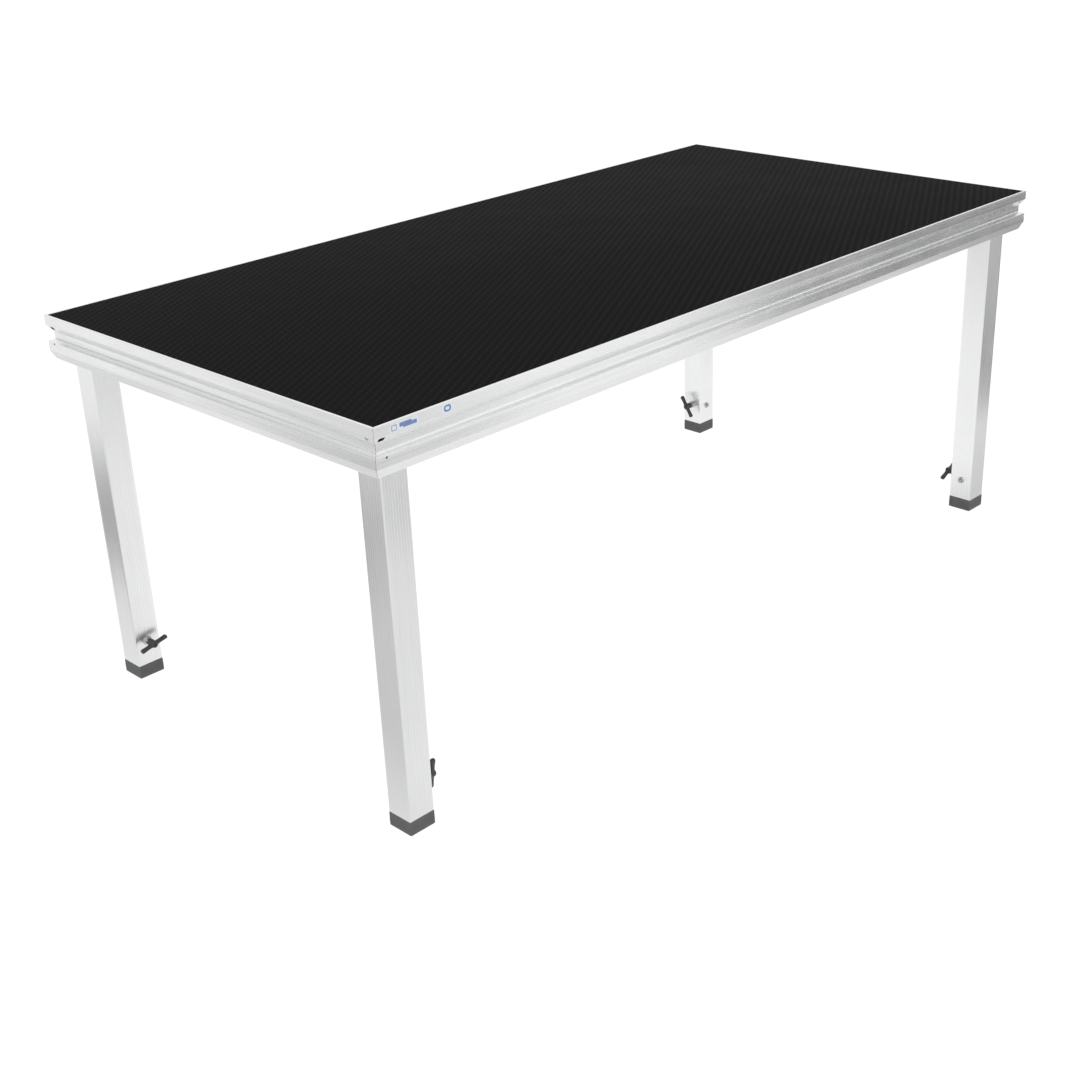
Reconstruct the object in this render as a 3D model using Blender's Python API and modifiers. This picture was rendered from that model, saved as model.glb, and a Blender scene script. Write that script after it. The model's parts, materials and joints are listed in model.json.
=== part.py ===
"""Stage riser platform: a 2 m by 1 m deck on four pull-out telescopic legs.

The frame stands on the floor with its origin under the middle of the deck.
+X runs along the long side, +Y across the deck and +Z up. All sizes are in
metres, with the legs pushed home and every clamp done up.
"""

import math

import bmesh
import bpy
from mathutils import Matrix, Vector

# ---------------------------------------------------------------- sizes ----

# Whole platform
DECK_LENGTH = 2.000
DECK_WIDTH = 1.000
DECK_HEIGHT = 0.800
GAP = 0.0003            # clearance between pieces that touch

# Deck panel
PANEL_THICKNESS = 0.012

# Frame rail section, from the top edge down the outside
LIP_WIDTH = 0.005       # metal edge left showing round the panel
LIP_FACE = 0.019        # upright face under the top edge
GROOVE_SLOPE = 0.015    # height of the slope that leads into the groove
GROOVE_BACK = 0.016     # height of the groove's upright back
GROOVE_INSET = 0.0105   # how far the groove's back is set in
LEDGE_DROP = 0.003      # fall of the groove's floor
BAND_FACE = 0.019       # upright face under the groove
CHAMFER_HEIGHT = 0.018
CHAMFER_INSET = 0.008
RAIL_BODY = 0.028       # thickness of the hollow part
RAIL_WALL = 0.0025

# Crossbeams under the panel
CROSSBEAM_COUNT = 3
CROSSBEAM_WIDTH = 0.040
CROSSBEAM_DEPTH = 0.060
CROSSBEAM_WALL = 0.003

# Leg tubes
LEG_SIZE = 0.058
LEG_WALL = 0.003
LEG_CORNER = 0.002      # radius of a tube's long edges
INNER_WALL = 0.003
SLIDE_CLEARANCE = 0.0005
TELESCOPE_TRAVEL = 0.400
INNER_OVERLAP = 0.130   # inner tube above its last lock hole

# Corner sockets
SOCKET_WALL = 0.0044    # against the rails
SOCKET_SIDE_WALL = 0.008
SOCKET_HEIGHT = 0.072
SOCKET_ROOF = 0.006
SOCKET_CLEARANCE = 0.0003
SOCKET_EDGE = 0.0015

# Socket clamp: a jaw in the socket wall, pushed by a hexagon screw
JAW_WIDTH = 0.040
JAW_HEIGHT = 0.036
JAW_THICKNESS = 0.006
JAW_TRAVEL = 0.002
SOCKET_THREAD = 0.0075  # wall left behind the jaw for the thread
SOCKET_SCREW_DIAMETER = 0.012
SOCKET_SCREW_STANDOFF = 0.004
HEX_ACROSS_FLATS = 0.018
HEX_HEIGHT = 0.0075

# Foot caps
CAP_OVERHANG = 0.001    # how far a cap stands out past the outer tube
CAP_HEIGHT = 0.029
CAP_BASE = 0.005
CAP_EDGE = 0.0015

# Guide block at the top of each inner tube
GUIDE_CLEARANCE = 0.0003
GUIDE_HEIGHT = 0.012
GUIDE_PLUG = 0.025

# Height clamp: nut, stud, thrust pad and wing knob
KNOB_HEIGHT = 0.082
STUD_DIAMETER = 0.010
NUT_WALL = 0.0017       # round the stud, where the nut passes through the tube
NUT_RIM = 0.003         # flange beyond that
NUT_FLANGE = 0.005
NUT_EDGE = 0.0008
PAD_THICKNESS = 0.002
KNOB_STANDOFF = 0.009   # tube face to the back of the hub
KNOB_REACH = 0.031      # tube face to the front of the knob
HUB_WALL = 0.0027
HUB_EDGE = 0.0012
STUD_SEAT = 0.013       # depth of the stud's seat in the hub
WING_SPAN = 0.066
WING_TIP_RADIUS = 0.0055
WING_NECK = 0.0095      # height of a wing where it leaves the hub
WING_THICKNESS = 0.009
WING_EDGE = 0.001

# Lock button
BUTTON_HEIGHT = 0.078
BUTTON_DIAMETER = 0.008
BUTTON_STANDOUT = 0.0055
BUTTON_DOME = 0.002
BUTTON_HOLE_CLEARANCE = 0.0005
BUSH_WALL = 0.0017      # round the button, where the bush passes through the tube
BUSH_RIM = 0.002        # flange beyond that
BUSH_FLANGE = 0.0025
LOCK_HOLE_PITCH = 0.050

# Facets round a turned piece
ROUND_STEPS = 24
HOLE_STEPS = 16

# ------------------------------------------------------ derived sizes ----

GROOVE_TOP = LIP_FACE + GROOVE_SLOPE
GROOVE_BOTTOM = GROOVE_TOP + GROOVE_BACK
BAND_TOP = GROOVE_BOTTOM + LEDGE_DROP
BAND_BOTTOM = BAND_TOP + BAND_FACE
RAIL_HEIGHT = BAND_BOTTOM + CHAMFER_HEIGHT
SEAT_DEPTH = PANEL_THICKNESS + GAP
SEAT_LEVEL = DECK_HEIGHT - SEAT_DEPTH

LEG_HALF = LEG_SIZE / 2
POCKET_HALF = LEG_HALF + SOCKET_CLEARANCE
LEG_AXIS_INSET = RAIL_BODY + GAP + SOCKET_WALL + POCKET_HALF
SOCKET_TOP = SEAT_LEVEL
SOCKET_BOTTOM = SOCKET_TOP - SOCKET_HEIGHT
LEG_TOP = SOCKET_TOP - SOCKET_ROOF - GAP
LEG_BOTTOM = CAP_HEIGHT + GAP

CAP_SIZE = LEG_SIZE + 2 * CAP_OVERHANG
INNER_SIZE = LEG_SIZE - 2 * LEG_WALL - 2 * SLIDE_CLEARANCE
INNER_HALF = INNER_SIZE / 2
INNER_BORE = INNER_SIZE - 2 * INNER_WALL
INNER_BOTTOM = CAP_BASE + GAP
INNER_TOP = BUTTON_HEIGHT + TELESCOPE_TRAVEL + INNER_OVERLAP
LOCK_HOLE_COUNT = 1 + math.floor(TELESCOPE_TRAVEL / LOCK_HOLE_PITCH + GAP)

JAW_BACK = POCKET_HALF + JAW_THICKNESS
RECESS_BACK = JAW_BACK + JAW_TRAVEL + GAP
CLAMP_FACE = RECESS_BACK + SOCKET_THREAD
CLAMP_LEVEL = SOCKET_BOTTOM + (SOCKET_HEIGHT - SOCKET_ROOF) / 2

STUD_BORE = STUD_DIAMETER + 2 * GAP
NUT_SPIGOT_DIAMETER = STUD_BORE + 2 * NUT_WALL
NUT_FLANGE_DIAMETER = NUT_SPIGOT_DIAMETER + 2 * NUT_RIM
HUB_DIAMETER = STUD_BORE + 2 * HUB_WALL
BUTTON_BORE = BUTTON_DIAMETER + 2 * GAP
BUSH_SPIGOT_DIAMETER = BUTTON_BORE + 2 * BUSH_WALL
BUSH_FLANGE_DIAMETER = BUSH_SPIGOT_DIAMETER + 2 * BUSH_RIM
SPIGOT_END = GAP - LEG_WALL

# Each corner of the platform: its name, its quarter turns from the front left
# corner, and how far round its wing knob stands.
CORNERS = (
    ("front_left", 0, math.radians(10)),
    ("front_right", 1, math.radians(66)),
    ("back_right", 2, math.radians(33)),
    ("back_left", 3, math.radians(103)),
)

# Turns that lay a piece made along +Z along a corner's +X or +Y.
ALONG_X = Matrix.Rotation(math.radians(90), 4, "Y")
ALONG_Y = Matrix.Rotation(math.radians(-90), 4, "X")

# -------------------------------------------------------------- scene ----


def clear_scene():
    """Remove whatever the scene holds."""
    for item in list(bpy.data.objects):
        bpy.data.objects.remove(item, do_unlink=True)


def make_collection(name):
    """Return a new collection in the scene."""
    collection = bpy.data.collections.new(name)
    bpy.context.scene.collection.children.link(collection)
    return collection


def make_material(name, colour, roughness, metallic):
    """Return a Principled material."""
    material = bpy.data.materials.new(name)
    material.use_nodes = True
    shader = material.node_tree.nodes["Principled BSDF"]
    shader.inputs["Base Color"].default_value = (*colour, 1.0)
    shader.inputs["Roughness"].default_value = roughness
    shader.inputs["Metallic"].default_value = metallic
    material.diffuse_color = (*colour, 1.0)
    return material


clear_scene()
PARTS = make_collection("stage_riser_platform")
CUTTERS = make_collection("cutters")

ALUMINIUM = make_material("mill_aluminium", (0.78, 0.79, 0.80), 0.38, 1.0)
CAST = make_material("cast_aluminium", (0.55, 0.56, 0.57), 0.60, 1.0)
STEEL = make_material("zinc_steel", (0.50, 0.50, 0.50), 0.40, 1.0)
PHENOLIC = make_material("black_phenolic_board", (0.012, 0.012, 0.013), 0.55, 0.0)
RUBBER = make_material("dark_grey_cap", (0.07, 0.075, 0.08), 0.65, 0.0)
NYLON = make_material("black_nylon", (0.03, 0.03, 0.032), 0.50, 0.0)
KNOB_GREY = make_material("grey_knob", (0.12, 0.12, 0.12), 0.50, 0.0)

# ------------------------------------------------------------ helpers ----


def add_object(name, mesh, material, collection=PARTS, parent=None, matrix=None):
    """Put a mesh in the scene as an object, placed under its parent."""
    item = bpy.data.objects.new(name, mesh)
    collection.objects.link(item)
    if material is not None:
        mesh.materials.append(material)
    item.parent = parent
    if matrix is not None:
        item.matrix_local = matrix
    if collection is CUTTERS:
        item.hide_render = True
        item.display_type = "WIRE"
    return item


def box_mesh(name, low, high):
    """Return a box between two corners."""
    size = Vector(high) - Vector(low)
    middle = (Vector(high) + Vector(low)) / 2
    shape = bmesh.new()
    bmesh.ops.create_cube(shape, size=1.0)
    bmesh.ops.scale(shape, vec=size, verts=shape.verts)
    bmesh.ops.translate(shape, vec=middle, verts=shape.verts)
    mesh = bpy.data.meshes.new(name)
    shape.to_mesh(mesh)
    shape.free()
    return mesh


def rod_mesh(name, diameter, bottom, top, steps=ROUND_STEPS):
    """Return a straight rod along Z."""
    shape = bmesh.new()
    bmesh.ops.create_cone(
        shape, cap_ends=True, segments=steps, depth=top - bottom,
        radius1=diameter / 2, radius2=diameter / 2,
    )
    bmesh.ops.translate(shape, vec=(0, 0, (top + bottom) / 2), verts=shape.verts)
    mesh = bpy.data.meshes.new(name)
    shape.to_mesh(mesh)
    shape.free()
    return mesh


def profile_mesh(name, points, closed):
    """Return the half section of a turned piece, in the XZ plane at +X."""
    shape = bmesh.new()
    corners = [shape.verts.new((radius, 0, height)) for radius, height in points]
    for start, end in zip(corners, corners[1:]):
        shape.edges.new((start, end))
    if closed:
        shape.edges.new((corners[-1], corners[0]))
    mesh = bpy.data.meshes.new(name)
    shape.to_mesh(mesh)
    shape.free()
    return mesh


def turn(item, steps=ROUND_STEPS):
    """Spin a half section round Z with a Screw modifier."""
    screw = item.modifiers.new("turned", "SCREW")
    screw.axis = "Z"
    screw.angle = math.radians(360)
    screw.steps = steps
    screw.render_steps = steps
    screw.use_merge_vertices = True
    screw.merge_threshold = 0.00001
    screw.use_smooth_shade = True
    return item


def extruded_mesh(name, outlines, bottom, top):
    """Return flat outlines, the first solid and the rest holes, made thick along Z."""
    curve = bpy.data.curves.new(name, "CURVE")
    curve.dimensions = "2D"
    curve.fill_mode = "BOTH"
    curve.extrude = (top - bottom) / 2
    for outline in outlines:
        spline = curve.splines.new("POLY")
        spline.points.add(len(outline) - 1)
        for point, (across, up) in zip(spline.points, outline):
            point.co = (across, up, 0, 1)
        spline.use_cyclic_u = True
    holder = bpy.data.objects.new(name, curve)
    CUTTERS.objects.link(holder)
    bpy.context.view_layer.update()
    evaluated = holder.evaluated_get(bpy.context.evaluated_depsgraph_get())
    mesh = bpy.data.meshes.new_from_object(evaluated)
    bpy.data.objects.remove(holder)
    bpy.data.curves.remove(curve)
    shape = bmesh.new()
    shape.from_mesh(mesh)
    bmesh.ops.remove_doubles(shape, verts=shape.verts, dist=0.00001)
    bmesh.ops.translate(shape, vec=(0, 0, (top + bottom) / 2), verts=shape.verts)
    shape.to_mesh(mesh)
    shape.free()
    return mesh


def square_outline(size):
    """Return a square round the origin, with sharp corners."""
    half = size / 2
    return [(half, -half), (half, half), (-half, half), (-half, -half)]


def arc(centre, radius, start, end, steps):
    """Return points along an arc, from one angle to another in degrees."""
    points = []
    for step in range(steps + 1):
        angle = math.radians(start + (end - start) * step / steps)
        points.append((centre[0] + radius * math.cos(angle), centre[1] + radius * math.sin(angle)))
    return points


def rounded_square(size, radius, steps=3):
    """Return a square round the origin, with rounded corners."""
    inner = size / 2 - radius
    points = []
    for turns, (across, up) in enumerate(((1, 1), (-1, 1), (-1, -1), (1, -1))):
        points += arc((across * inner, up * inner), radius, 90 * turns, 90 * turns + 90, steps)
    return points


def inset_outline(points, distance):
    """Return an anticlockwise outline moved inward by a distance on every side."""
    corners = [Vector(point) for point in points]
    moved = []
    for index, corner in enumerate(corners):
        before = (corner - corners[index - 1]).normalized()
        after = (corners[(index + 1) % len(corners)] - corner).normalized()
        inward_before = Vector((-before.y, before.x))
        inward_after = Vector((-after.y, after.x))
        middle = inward_before + inward_after
        moved.append(tuple(corner + middle * distance / (1 + inward_before.dot(inward_after))))
    return moved


def combine(piece, other, operation):
    """Cut one solid from a piece, or join it on, with a Boolean modifier."""
    boolean = piece.modifiers.new(other.name, "BOOLEAN")
    boolean.operation = operation
    boolean.solver = "EXACT"
    boolean.object = other
    return piece


def cut(piece, mesh, parent, matrix=None):
    """Cut a shape out of a piece."""
    cutter = add_object("cut_" + mesh.name, mesh, None, CUTTERS, parent, matrix)
    return combine(piece, cutter, "DIFFERENCE")


def join(piece, mesh, parent, matrix=None):
    """Join a shape onto a piece."""
    addition = add_object("add_" + mesh.name, mesh, None, CUTTERS, parent, matrix)
    return combine(piece, addition, "UNION")


def round_edges(piece, width, segments=2):
    """Round a piece's sharp edges."""
    bevel = piece.modifiers.new("edges", "BEVEL")
    bevel.width = width
    bevel.segments = segments
    bevel.limit_method = "ANGLE"
    bevel.angle_limit = math.radians(40)
    return piece


def smooth(mesh):
    """Shade a round piece smooth, keeping its sharp edges."""
    mesh.shade_smooth()
    mesh.set_sharp_from_angle(angle=math.radians(35))
    return mesh


# --------------------------------------------------------- deck frame ----


def rail_section():
    """Return the rail's outline and its hollow, inset across and depth down."""
    outside = [
        (0, -LIP_FACE),
        (GROOVE_INSET, -GROOVE_TOP),
        (GROOVE_INSET, -GROOVE_BOTTOM),
        (0, -BAND_TOP),
        (0, -BAND_BOTTOM),
        (CHAMFER_INSET, -RAIL_HEIGHT),
        (RAIL_BODY, -RAIL_HEIGHT),
        (RAIL_BODY, -SEAT_DEPTH),
    ]
    outline = [(0, 0)] + outside + [(LIP_WIDTH, -SEAT_DEPTH), (LIP_WIDTH, 0)]
    hollow = inset_outline([(0, -SEAT_DEPTH)] + outside, RAIL_WALL)
    return outline, hollow


def mitre(mesh, half_length):
    """Cut both ends of a rail at 45 degrees, keyed to the inset across it."""
    for corner in mesh.vertices:
        end = half_length - corner.co.x - GAP
        corner.co.z = math.copysign(end, corner.co.z)


def build_rails():
    """Make the four hollow rails, each with its groove outside and its seat inside."""
    outline, hollow = rail_section()
    upright = Matrix(((0, 0, 1, 0), (1, 0, 0, 0), (0, 1, 0, 0), (0, 0, 0, 1)))
    for turns, side in enumerate(("front", "right", "back", "left")):
        length, span = (DECK_LENGTH, DECK_WIDTH) if turns % 2 == 0 else (DECK_WIDTH, DECK_LENGTH)
        name = "rail_" + side
        mesh = extruded_mesh(name, (outline, hollow), -length / 2, length / 2)
        mitre(mesh, length / 2)
        place = Matrix.Rotation(math.radians(90 * turns), 4, "Z")
        place @= Matrix.Translation((0, -span / 2, DECK_HEIGHT))
        add_object(name, mesh, ALUMINIUM, matrix=place @ upright)


def build_panel():
    """Make the deck board that lies in the rails' seats."""
    half_length = DECK_LENGTH / 2 - LIP_WIDTH - GAP
    half_width = DECK_WIDTH / 2 - LIP_WIDTH - GAP
    mesh = box_mesh(
        "deck_panel",
        (-half_length, -half_width, -PANEL_THICKNESS),
        (half_length, half_width, 0),
    )
    add_object("deck_panel", mesh, PHENOLIC, matrix=Matrix.Translation((0, 0, DECK_HEIGHT)))


def build_crossbeams():
    """Make the box beams that carry the panel between the long rails."""
    half_width = CROSSBEAM_WIDTH / 2
    outline = [
        (half_width, -CROSSBEAM_DEPTH),
        (half_width, 0),
        (-half_width, 0),
        (-half_width, -CROSSBEAM_DEPTH),
    ]
    hollow = inset_outline(outline, CROSSBEAM_WALL)
    reach = DECK_WIDTH / 2 - RAIL_BODY - GAP
    across = Matrix.Rotation(math.radians(90), 4, "X")
    for number in range(1, CROSSBEAM_COUNT + 1):
        name = "crossbeam_%d" % number
        mesh = extruded_mesh(name, (outline, hollow), -reach, reach)
        station = -DECK_LENGTH / 2 + DECK_LENGTH * number / (CROSSBEAM_COUNT + 1)
        place = Matrix.Translation((station, 0, SEAT_LEVEL))
        add_object(name, mesh, ALUMINIUM, matrix=place @ across)


# ------------------------------------------------------ corner socket ----


def build_socket(corner, base):
    """Make a corner casting with a pocket for the leg and a recess for the jaw."""
    name = "socket_" + corner
    outside = -(POCKET_HALF + SOCKET_WALL)
    mesh = box_mesh(
        name,
        (outside, outside, SOCKET_BOTTOM),
        (POCKET_HALF + SOCKET_SIDE_WALL, CLAMP_FACE, SOCKET_TOP),
    )
    socket = add_object(name, mesh, CAST, parent=base)
    round_edges(socket, SOCKET_EDGE)
    pocket = box_mesh(
        "pocket_" + corner,
        (-POCKET_HALF, -POCKET_HALF, SOCKET_BOTTOM - SOCKET_ROOF),
        (POCKET_HALF, POCKET_HALF, SOCKET_TOP - SOCKET_ROOF),
    )
    cut(socket, pocket, base)
    recess = box_mesh(
        "jaw_recess_" + corner,
        (-JAW_WIDTH / 2 - GAP, 0, CLAMP_LEVEL - JAW_HEIGHT / 2 - GAP),
        (JAW_WIDTH / 2 + GAP, RECESS_BACK, CLAMP_LEVEL + JAW_HEIGHT / 2 + GAP),
    )
    cut(socket, recess, base)
    bore = rod_mesh(
        "screw_bore_" + corner, SOCKET_SCREW_DIAMETER + 2 * GAP,
        JAW_BACK, CLAMP_FACE + SOCKET_THREAD, HOLE_STEPS,
    )
    cut(socket, bore, base, Matrix.Translation((0, 0, CLAMP_LEVEL)) @ ALONG_Y)


def build_socket_clamp(corner, base):
    """Make the jaw that grips a leg in its socket and the screw that pushes it."""
    name = "socket_jaw_" + corner
    mesh = box_mesh(
        name,
        (-JAW_WIDTH / 2, 0, -JAW_HEIGHT / 2),
        (JAW_WIDTH / 2, JAW_THICKNESS, JAW_HEIGHT / 2),
    )
    add_object(name, mesh, STEEL, parent=base, matrix=Matrix.Translation((0, POCKET_HALF, CLAMP_LEVEL)))

    name = "socket_screw_" + corner
    place = Matrix.Translation((0, CLAMP_FACE, CLAMP_LEVEL)) @ ALONG_Y
    tip = JAW_BACK + GAP - CLAMP_FACE
    shank_top = SOCKET_SCREW_STANDOFF + HEX_HEIGHT / 2
    shank = smooth(rod_mesh(name, SOCKET_SCREW_DIAMETER, tip, shank_top, HOLE_STEPS))
    screw = add_object(name, shank, STEEL, parent=base, matrix=place)
    head = rod_mesh(
        "hex_head_" + corner, HEX_ACROSS_FLATS / math.cos(math.radians(30)),
        SOCKET_SCREW_STANDOFF, SOCKET_SCREW_STANDOFF + HEX_HEIGHT, 6,
    )
    join(screw, head, base, place)


# ---------------------------------------------------------------- leg ----


def build_leg_tubes(corner, base):
    """Make the outer tube that fills the socket and the tube that slides in it."""
    name = "leg_tube_" + corner
    outlines = (rounded_square(LEG_SIZE, LEG_CORNER), square_outline(LEG_SIZE - 2 * LEG_WALL))
    outer = add_object(name, extruded_mesh(name, outlines, LEG_BOTTOM, LEG_TOP), ALUMINIUM, parent=base)
    nut_hole = rod_mesh(
        "nut_hole_" + corner, NUT_SPIGOT_DIAMETER + 2 * GAP,
        LEG_HALF - 1.5 * LEG_WALL, LEG_HALF + LEG_WALL, HOLE_STEPS,
    )
    cut(outer, nut_hole, base, Matrix.Translation((0, 0, KNOB_HEIGHT)) @ ALONG_X)
    bush_hole = rod_mesh(
        "bush_hole_" + corner, BUSH_SPIGOT_DIAMETER + 2 * GAP,
        LEG_HALF - 1.5 * LEG_WALL, LEG_HALF + LEG_WALL, HOLE_STEPS,
    )
    cut(outer, bush_hole, base, Matrix.Translation((0, 0, BUTTON_HEIGHT)) @ ALONG_Y)

    name = "leg_inner_" + corner
    outlines = (rounded_square(INNER_SIZE, LEG_CORNER), square_outline(INNER_BORE))
    inner = add_object(name, extruded_mesh(name, outlines, INNER_BOTTOM, INNER_TOP), ALUMINIUM, parent=base)
    lock_hole = rod_mesh(
        "lock_hole_" + corner, BUTTON_DIAMETER + 2 * BUTTON_HOLE_CLEARANCE,
        INNER_HALF - 1.5 * INNER_WALL, INNER_HALF + INNER_WALL, HOLE_STEPS,
    )
    cut(inner, lock_hole, base, Matrix.Translation((0, 0, BUTTON_HEIGHT)) @ ALONG_Y)
    row = bpy.data.objects["cut_" + lock_hole.name].modifiers.new("row", "ARRAY")
    row.count = LOCK_HOLE_COUNT
    row.use_relative_offset = False
    row.use_constant_offset = True
    row.constant_offset_displace = (0, -LOCK_HOLE_PITCH, 0)


def build_foot_cap(corner, base):
    """Make the moulded cap that shoes the inner tube and stands on the floor."""
    name = "foot_cap_" + corner
    half = CAP_SIZE / 2
    cap = add_object(name, box_mesh(name, (-half, -half, 0), (half, half, CAP_HEIGHT)), RUBBER, parent=base)
    round_edges(cap, CAP_EDGE)
    seat = INNER_HALF + GAP
    pocket = box_mesh("cap_pocket_" + corner, (-seat, -seat, CAP_BASE), (seat, seat, CAP_HEIGHT + CAP_BASE))
    cut(cap, pocket, base)


def build_guide_block(corner, base):
    """Make the plug that guides the inner tube's top inside the outer tube."""
    name = "guide_block_" + corner
    half = LEG_HALF - LEG_WALL - GUIDE_CLEARANCE
    flange_bottom = INNER_TOP + GAP
    flange = box_mesh(name, (-half, -half, flange_bottom), (half, half, flange_bottom + GUIDE_HEIGHT))
    block = add_object(name, flange, NYLON, parent=base)
    plug_half = INNER_BORE / 2 - GAP
    plug = box_mesh(
        "guide_plug_" + corner,
        (-plug_half, -plug_half, INNER_TOP - GUIDE_PLUG),
        (plug_half, plug_half, flange_bottom + GUIDE_HEIGHT / 2),
    )
    join(block, plug, base)


# ------------------------------------------------------- height clamp ----


def build_knob_nut(corner, base):
    """Make the threaded nut set in the outer tube's wall."""
    name = "knob_nut_" + corner
    bore = STUD_BORE / 2
    spigot = NUT_SPIGOT_DIAMETER / 2
    flange = NUT_FLANGE_DIAMETER / 2
    section = [
        (flange - NUT_EDGE, NUT_FLANGE),
        (flange, NUT_FLANGE - NUT_EDGE),
        (flange, GAP),
        (spigot, GAP),
        (spigot, SPIGOT_END),
        (bore, SPIGOT_END),
        (bore, NUT_FLANGE),
    ]
    place = Matrix.Translation((LEG_HALF, 0, KNOB_HEIGHT)) @ ALONG_X
    turn(add_object(name, profile_mesh(name, section, True), STEEL, parent=base, matrix=place))


def build_thrust_pad(corner, base):
    """Make the pad that the stud presses on the inner tube."""
    name = "thrust_pad_" + corner
    mesh = smooth(rod_mesh(name, STUD_DIAMETER, 0, PAD_THICKNESS))
    place = Matrix.Translation((INNER_HALF + GAP, 0, KNOB_HEIGHT)) @ ALONG_X
    add_object(name, mesh, NYLON, parent=base, matrix=place)


def build_wing_knob(corner, base, spin):
    """Make the wing knob and the stud that it turns."""
    place = Matrix.Translation((LEG_HALF, 0, KNOB_HEIGHT)) @ ALONG_X @ Matrix.Rotation(spin, 4, "Z")
    seat_end = KNOB_STANDOFF + STUD_SEAT

    name = "knob_stud_" + corner
    tip = INNER_HALF + GAP + PAD_THICKNESS + GAP - LEG_HALF
    stud = smooth(rod_mesh(name, STUD_DIAMETER, tip, seat_end - GAP))
    add_object(name, stud, STEEL, parent=base, matrix=place)

    name = "wing_knob_" + corner
    hub = HUB_DIAMETER / 2
    section = [
        (0, KNOB_REACH),
        (hub - HUB_EDGE, KNOB_REACH),
        (hub, KNOB_REACH - HUB_EDGE),
        (hub, KNOB_STANDOFF),
        (0, KNOB_STANDOFF),
    ]
    knob = turn(add_object(name, profile_mesh(name, section, False), KNOB_GREY, parent=base, matrix=place))
    wings = extruded_mesh("wings_" + corner, [wing_outline()], -WING_THICKNESS / 2, WING_THICKNESS / 2)
    upright = Matrix.Rotation(math.radians(90), 4, "X")
    join(knob, wings, base, place @ upright)
    seat = rod_mesh("stud_seat_" + corner, STUD_BORE, KNOB_STANDOFF - HUB_DIAMETER, seat_end)
    cut(knob, seat, base, place)


def wing_outline():
    """Return both wings' outline: reach across, distance out from the tube up."""
    tip_across = WING_SPAN / 2 - WING_TIP_RADIUS
    tip_up = KNOB_REACH - WING_EDGE - WING_TIP_RADIUS
    neck_across = HUB_DIAMETER / 2 + WING_EDGE
    right_tip = arc((tip_across, tip_up), WING_TIP_RADIUS, -80, 100, 8)
    left_tip = [(-across, up) for across, up in reversed(right_tip)]
    neck_low = tip_up - WING_NECK / 2
    neck_high = tip_up + WING_NECK / 2
    top = [(neck_across, neck_high), (-neck_across, neck_high)]
    bottom = [(-neck_across, neck_low), (neck_across, neck_low)]
    return right_tip + top + left_tip + bottom


# -------------------------------------------------------- lock button ----


def build_lock_button(corner, base):
    """Make the sprung lock button and the bush that guides it."""
    place = Matrix.Translation((0, LEG_HALF, BUTTON_HEIGHT)) @ ALONG_Y
    radius = BUTTON_DIAMETER / 2
    flange = BUSH_FLANGE_DIAMETER / 2
    spigot = BUSH_SPIGOT_DIAMETER / 2
    bore = BUTTON_BORE / 2

    name = "button_bush_" + corner
    section = [
        (flange - NUT_EDGE, BUSH_FLANGE),
        (flange, BUSH_FLANGE - NUT_EDGE),
        (flange, GAP),
        (spigot, GAP),
        (spigot, SPIGOT_END),
        (bore, SPIGOT_END),
        (bore, BUSH_FLANGE),
    ]
    turn(add_object(name, profile_mesh(name, section, True), STEEL, parent=base, matrix=place))

    name = "lock_button_" + corner
    top = BUSH_FLANGE + BUTTON_STANDOUT
    dome = [
        (radius * math.sin(angle), top - BUTTON_DOME * (1 - math.cos(angle)))
        for angle in (math.radians(90) * step / 5 for step in range(6))
    ]
    section = dome + [(radius, SPIGOT_END), (0, SPIGOT_END)]
    turn(add_object(name, profile_mesh(name, section, False), STEEL, parent=base, matrix=place))


# --------------------------------------------------------------- build ----


def build_corner(corner, turns, spin):
    """Make one corner's socket and leg, square to the platform at its leg's axis."""
    base = bpy.data.objects.new("axis_" + corner, None)
    PARTS.objects.link(base)
    along = (DECK_LENGTH / 2 - LEG_AXIS_INSET, DECK_WIDTH / 2 - LEG_AXIS_INSET)
    side_x = -1 if turns in (0, 3) else 1
    side_y = -1 if turns in (0, 1) else 1
    base.matrix_local = (
        Matrix.Translation((side_x * along[0], side_y * along[1], 0))
        @ Matrix.Rotation(math.radians(90 * turns), 4, "Z")
    )
    build_socket(corner, base)
    build_socket_clamp(corner, base)
    build_leg_tubes(corner, base)
    build_foot_cap(corner, base)
    build_guide_block(corner, base)
    build_knob_nut(corner, base)
    build_thrust_pad(corner, base)
    build_wing_knob(corner, base, spin)
    build_lock_button(corner, base)


build_rails()
build_panel()
build_crossbeams()
for corner_name, quarter_turns, knob_spin in CORNERS:
    build_corner(corner_name, quarter_turns, knob_spin)
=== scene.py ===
"""Looks of the stage riser platform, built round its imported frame.

Each sub-assembly is a class that holds its sizes, makes its meshes in the
frame's own metres and dresses them. main() builds them in order.
"""

import json
import logging
import math
from collections.abc import Callable, Iterable, Sequence
from dataclasses import dataclass, field
from enum import Enum

import bmesh
import bpy
from mathutils import Matrix, Vector
from mathutils.geometry import tessellate_polygon

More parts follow.
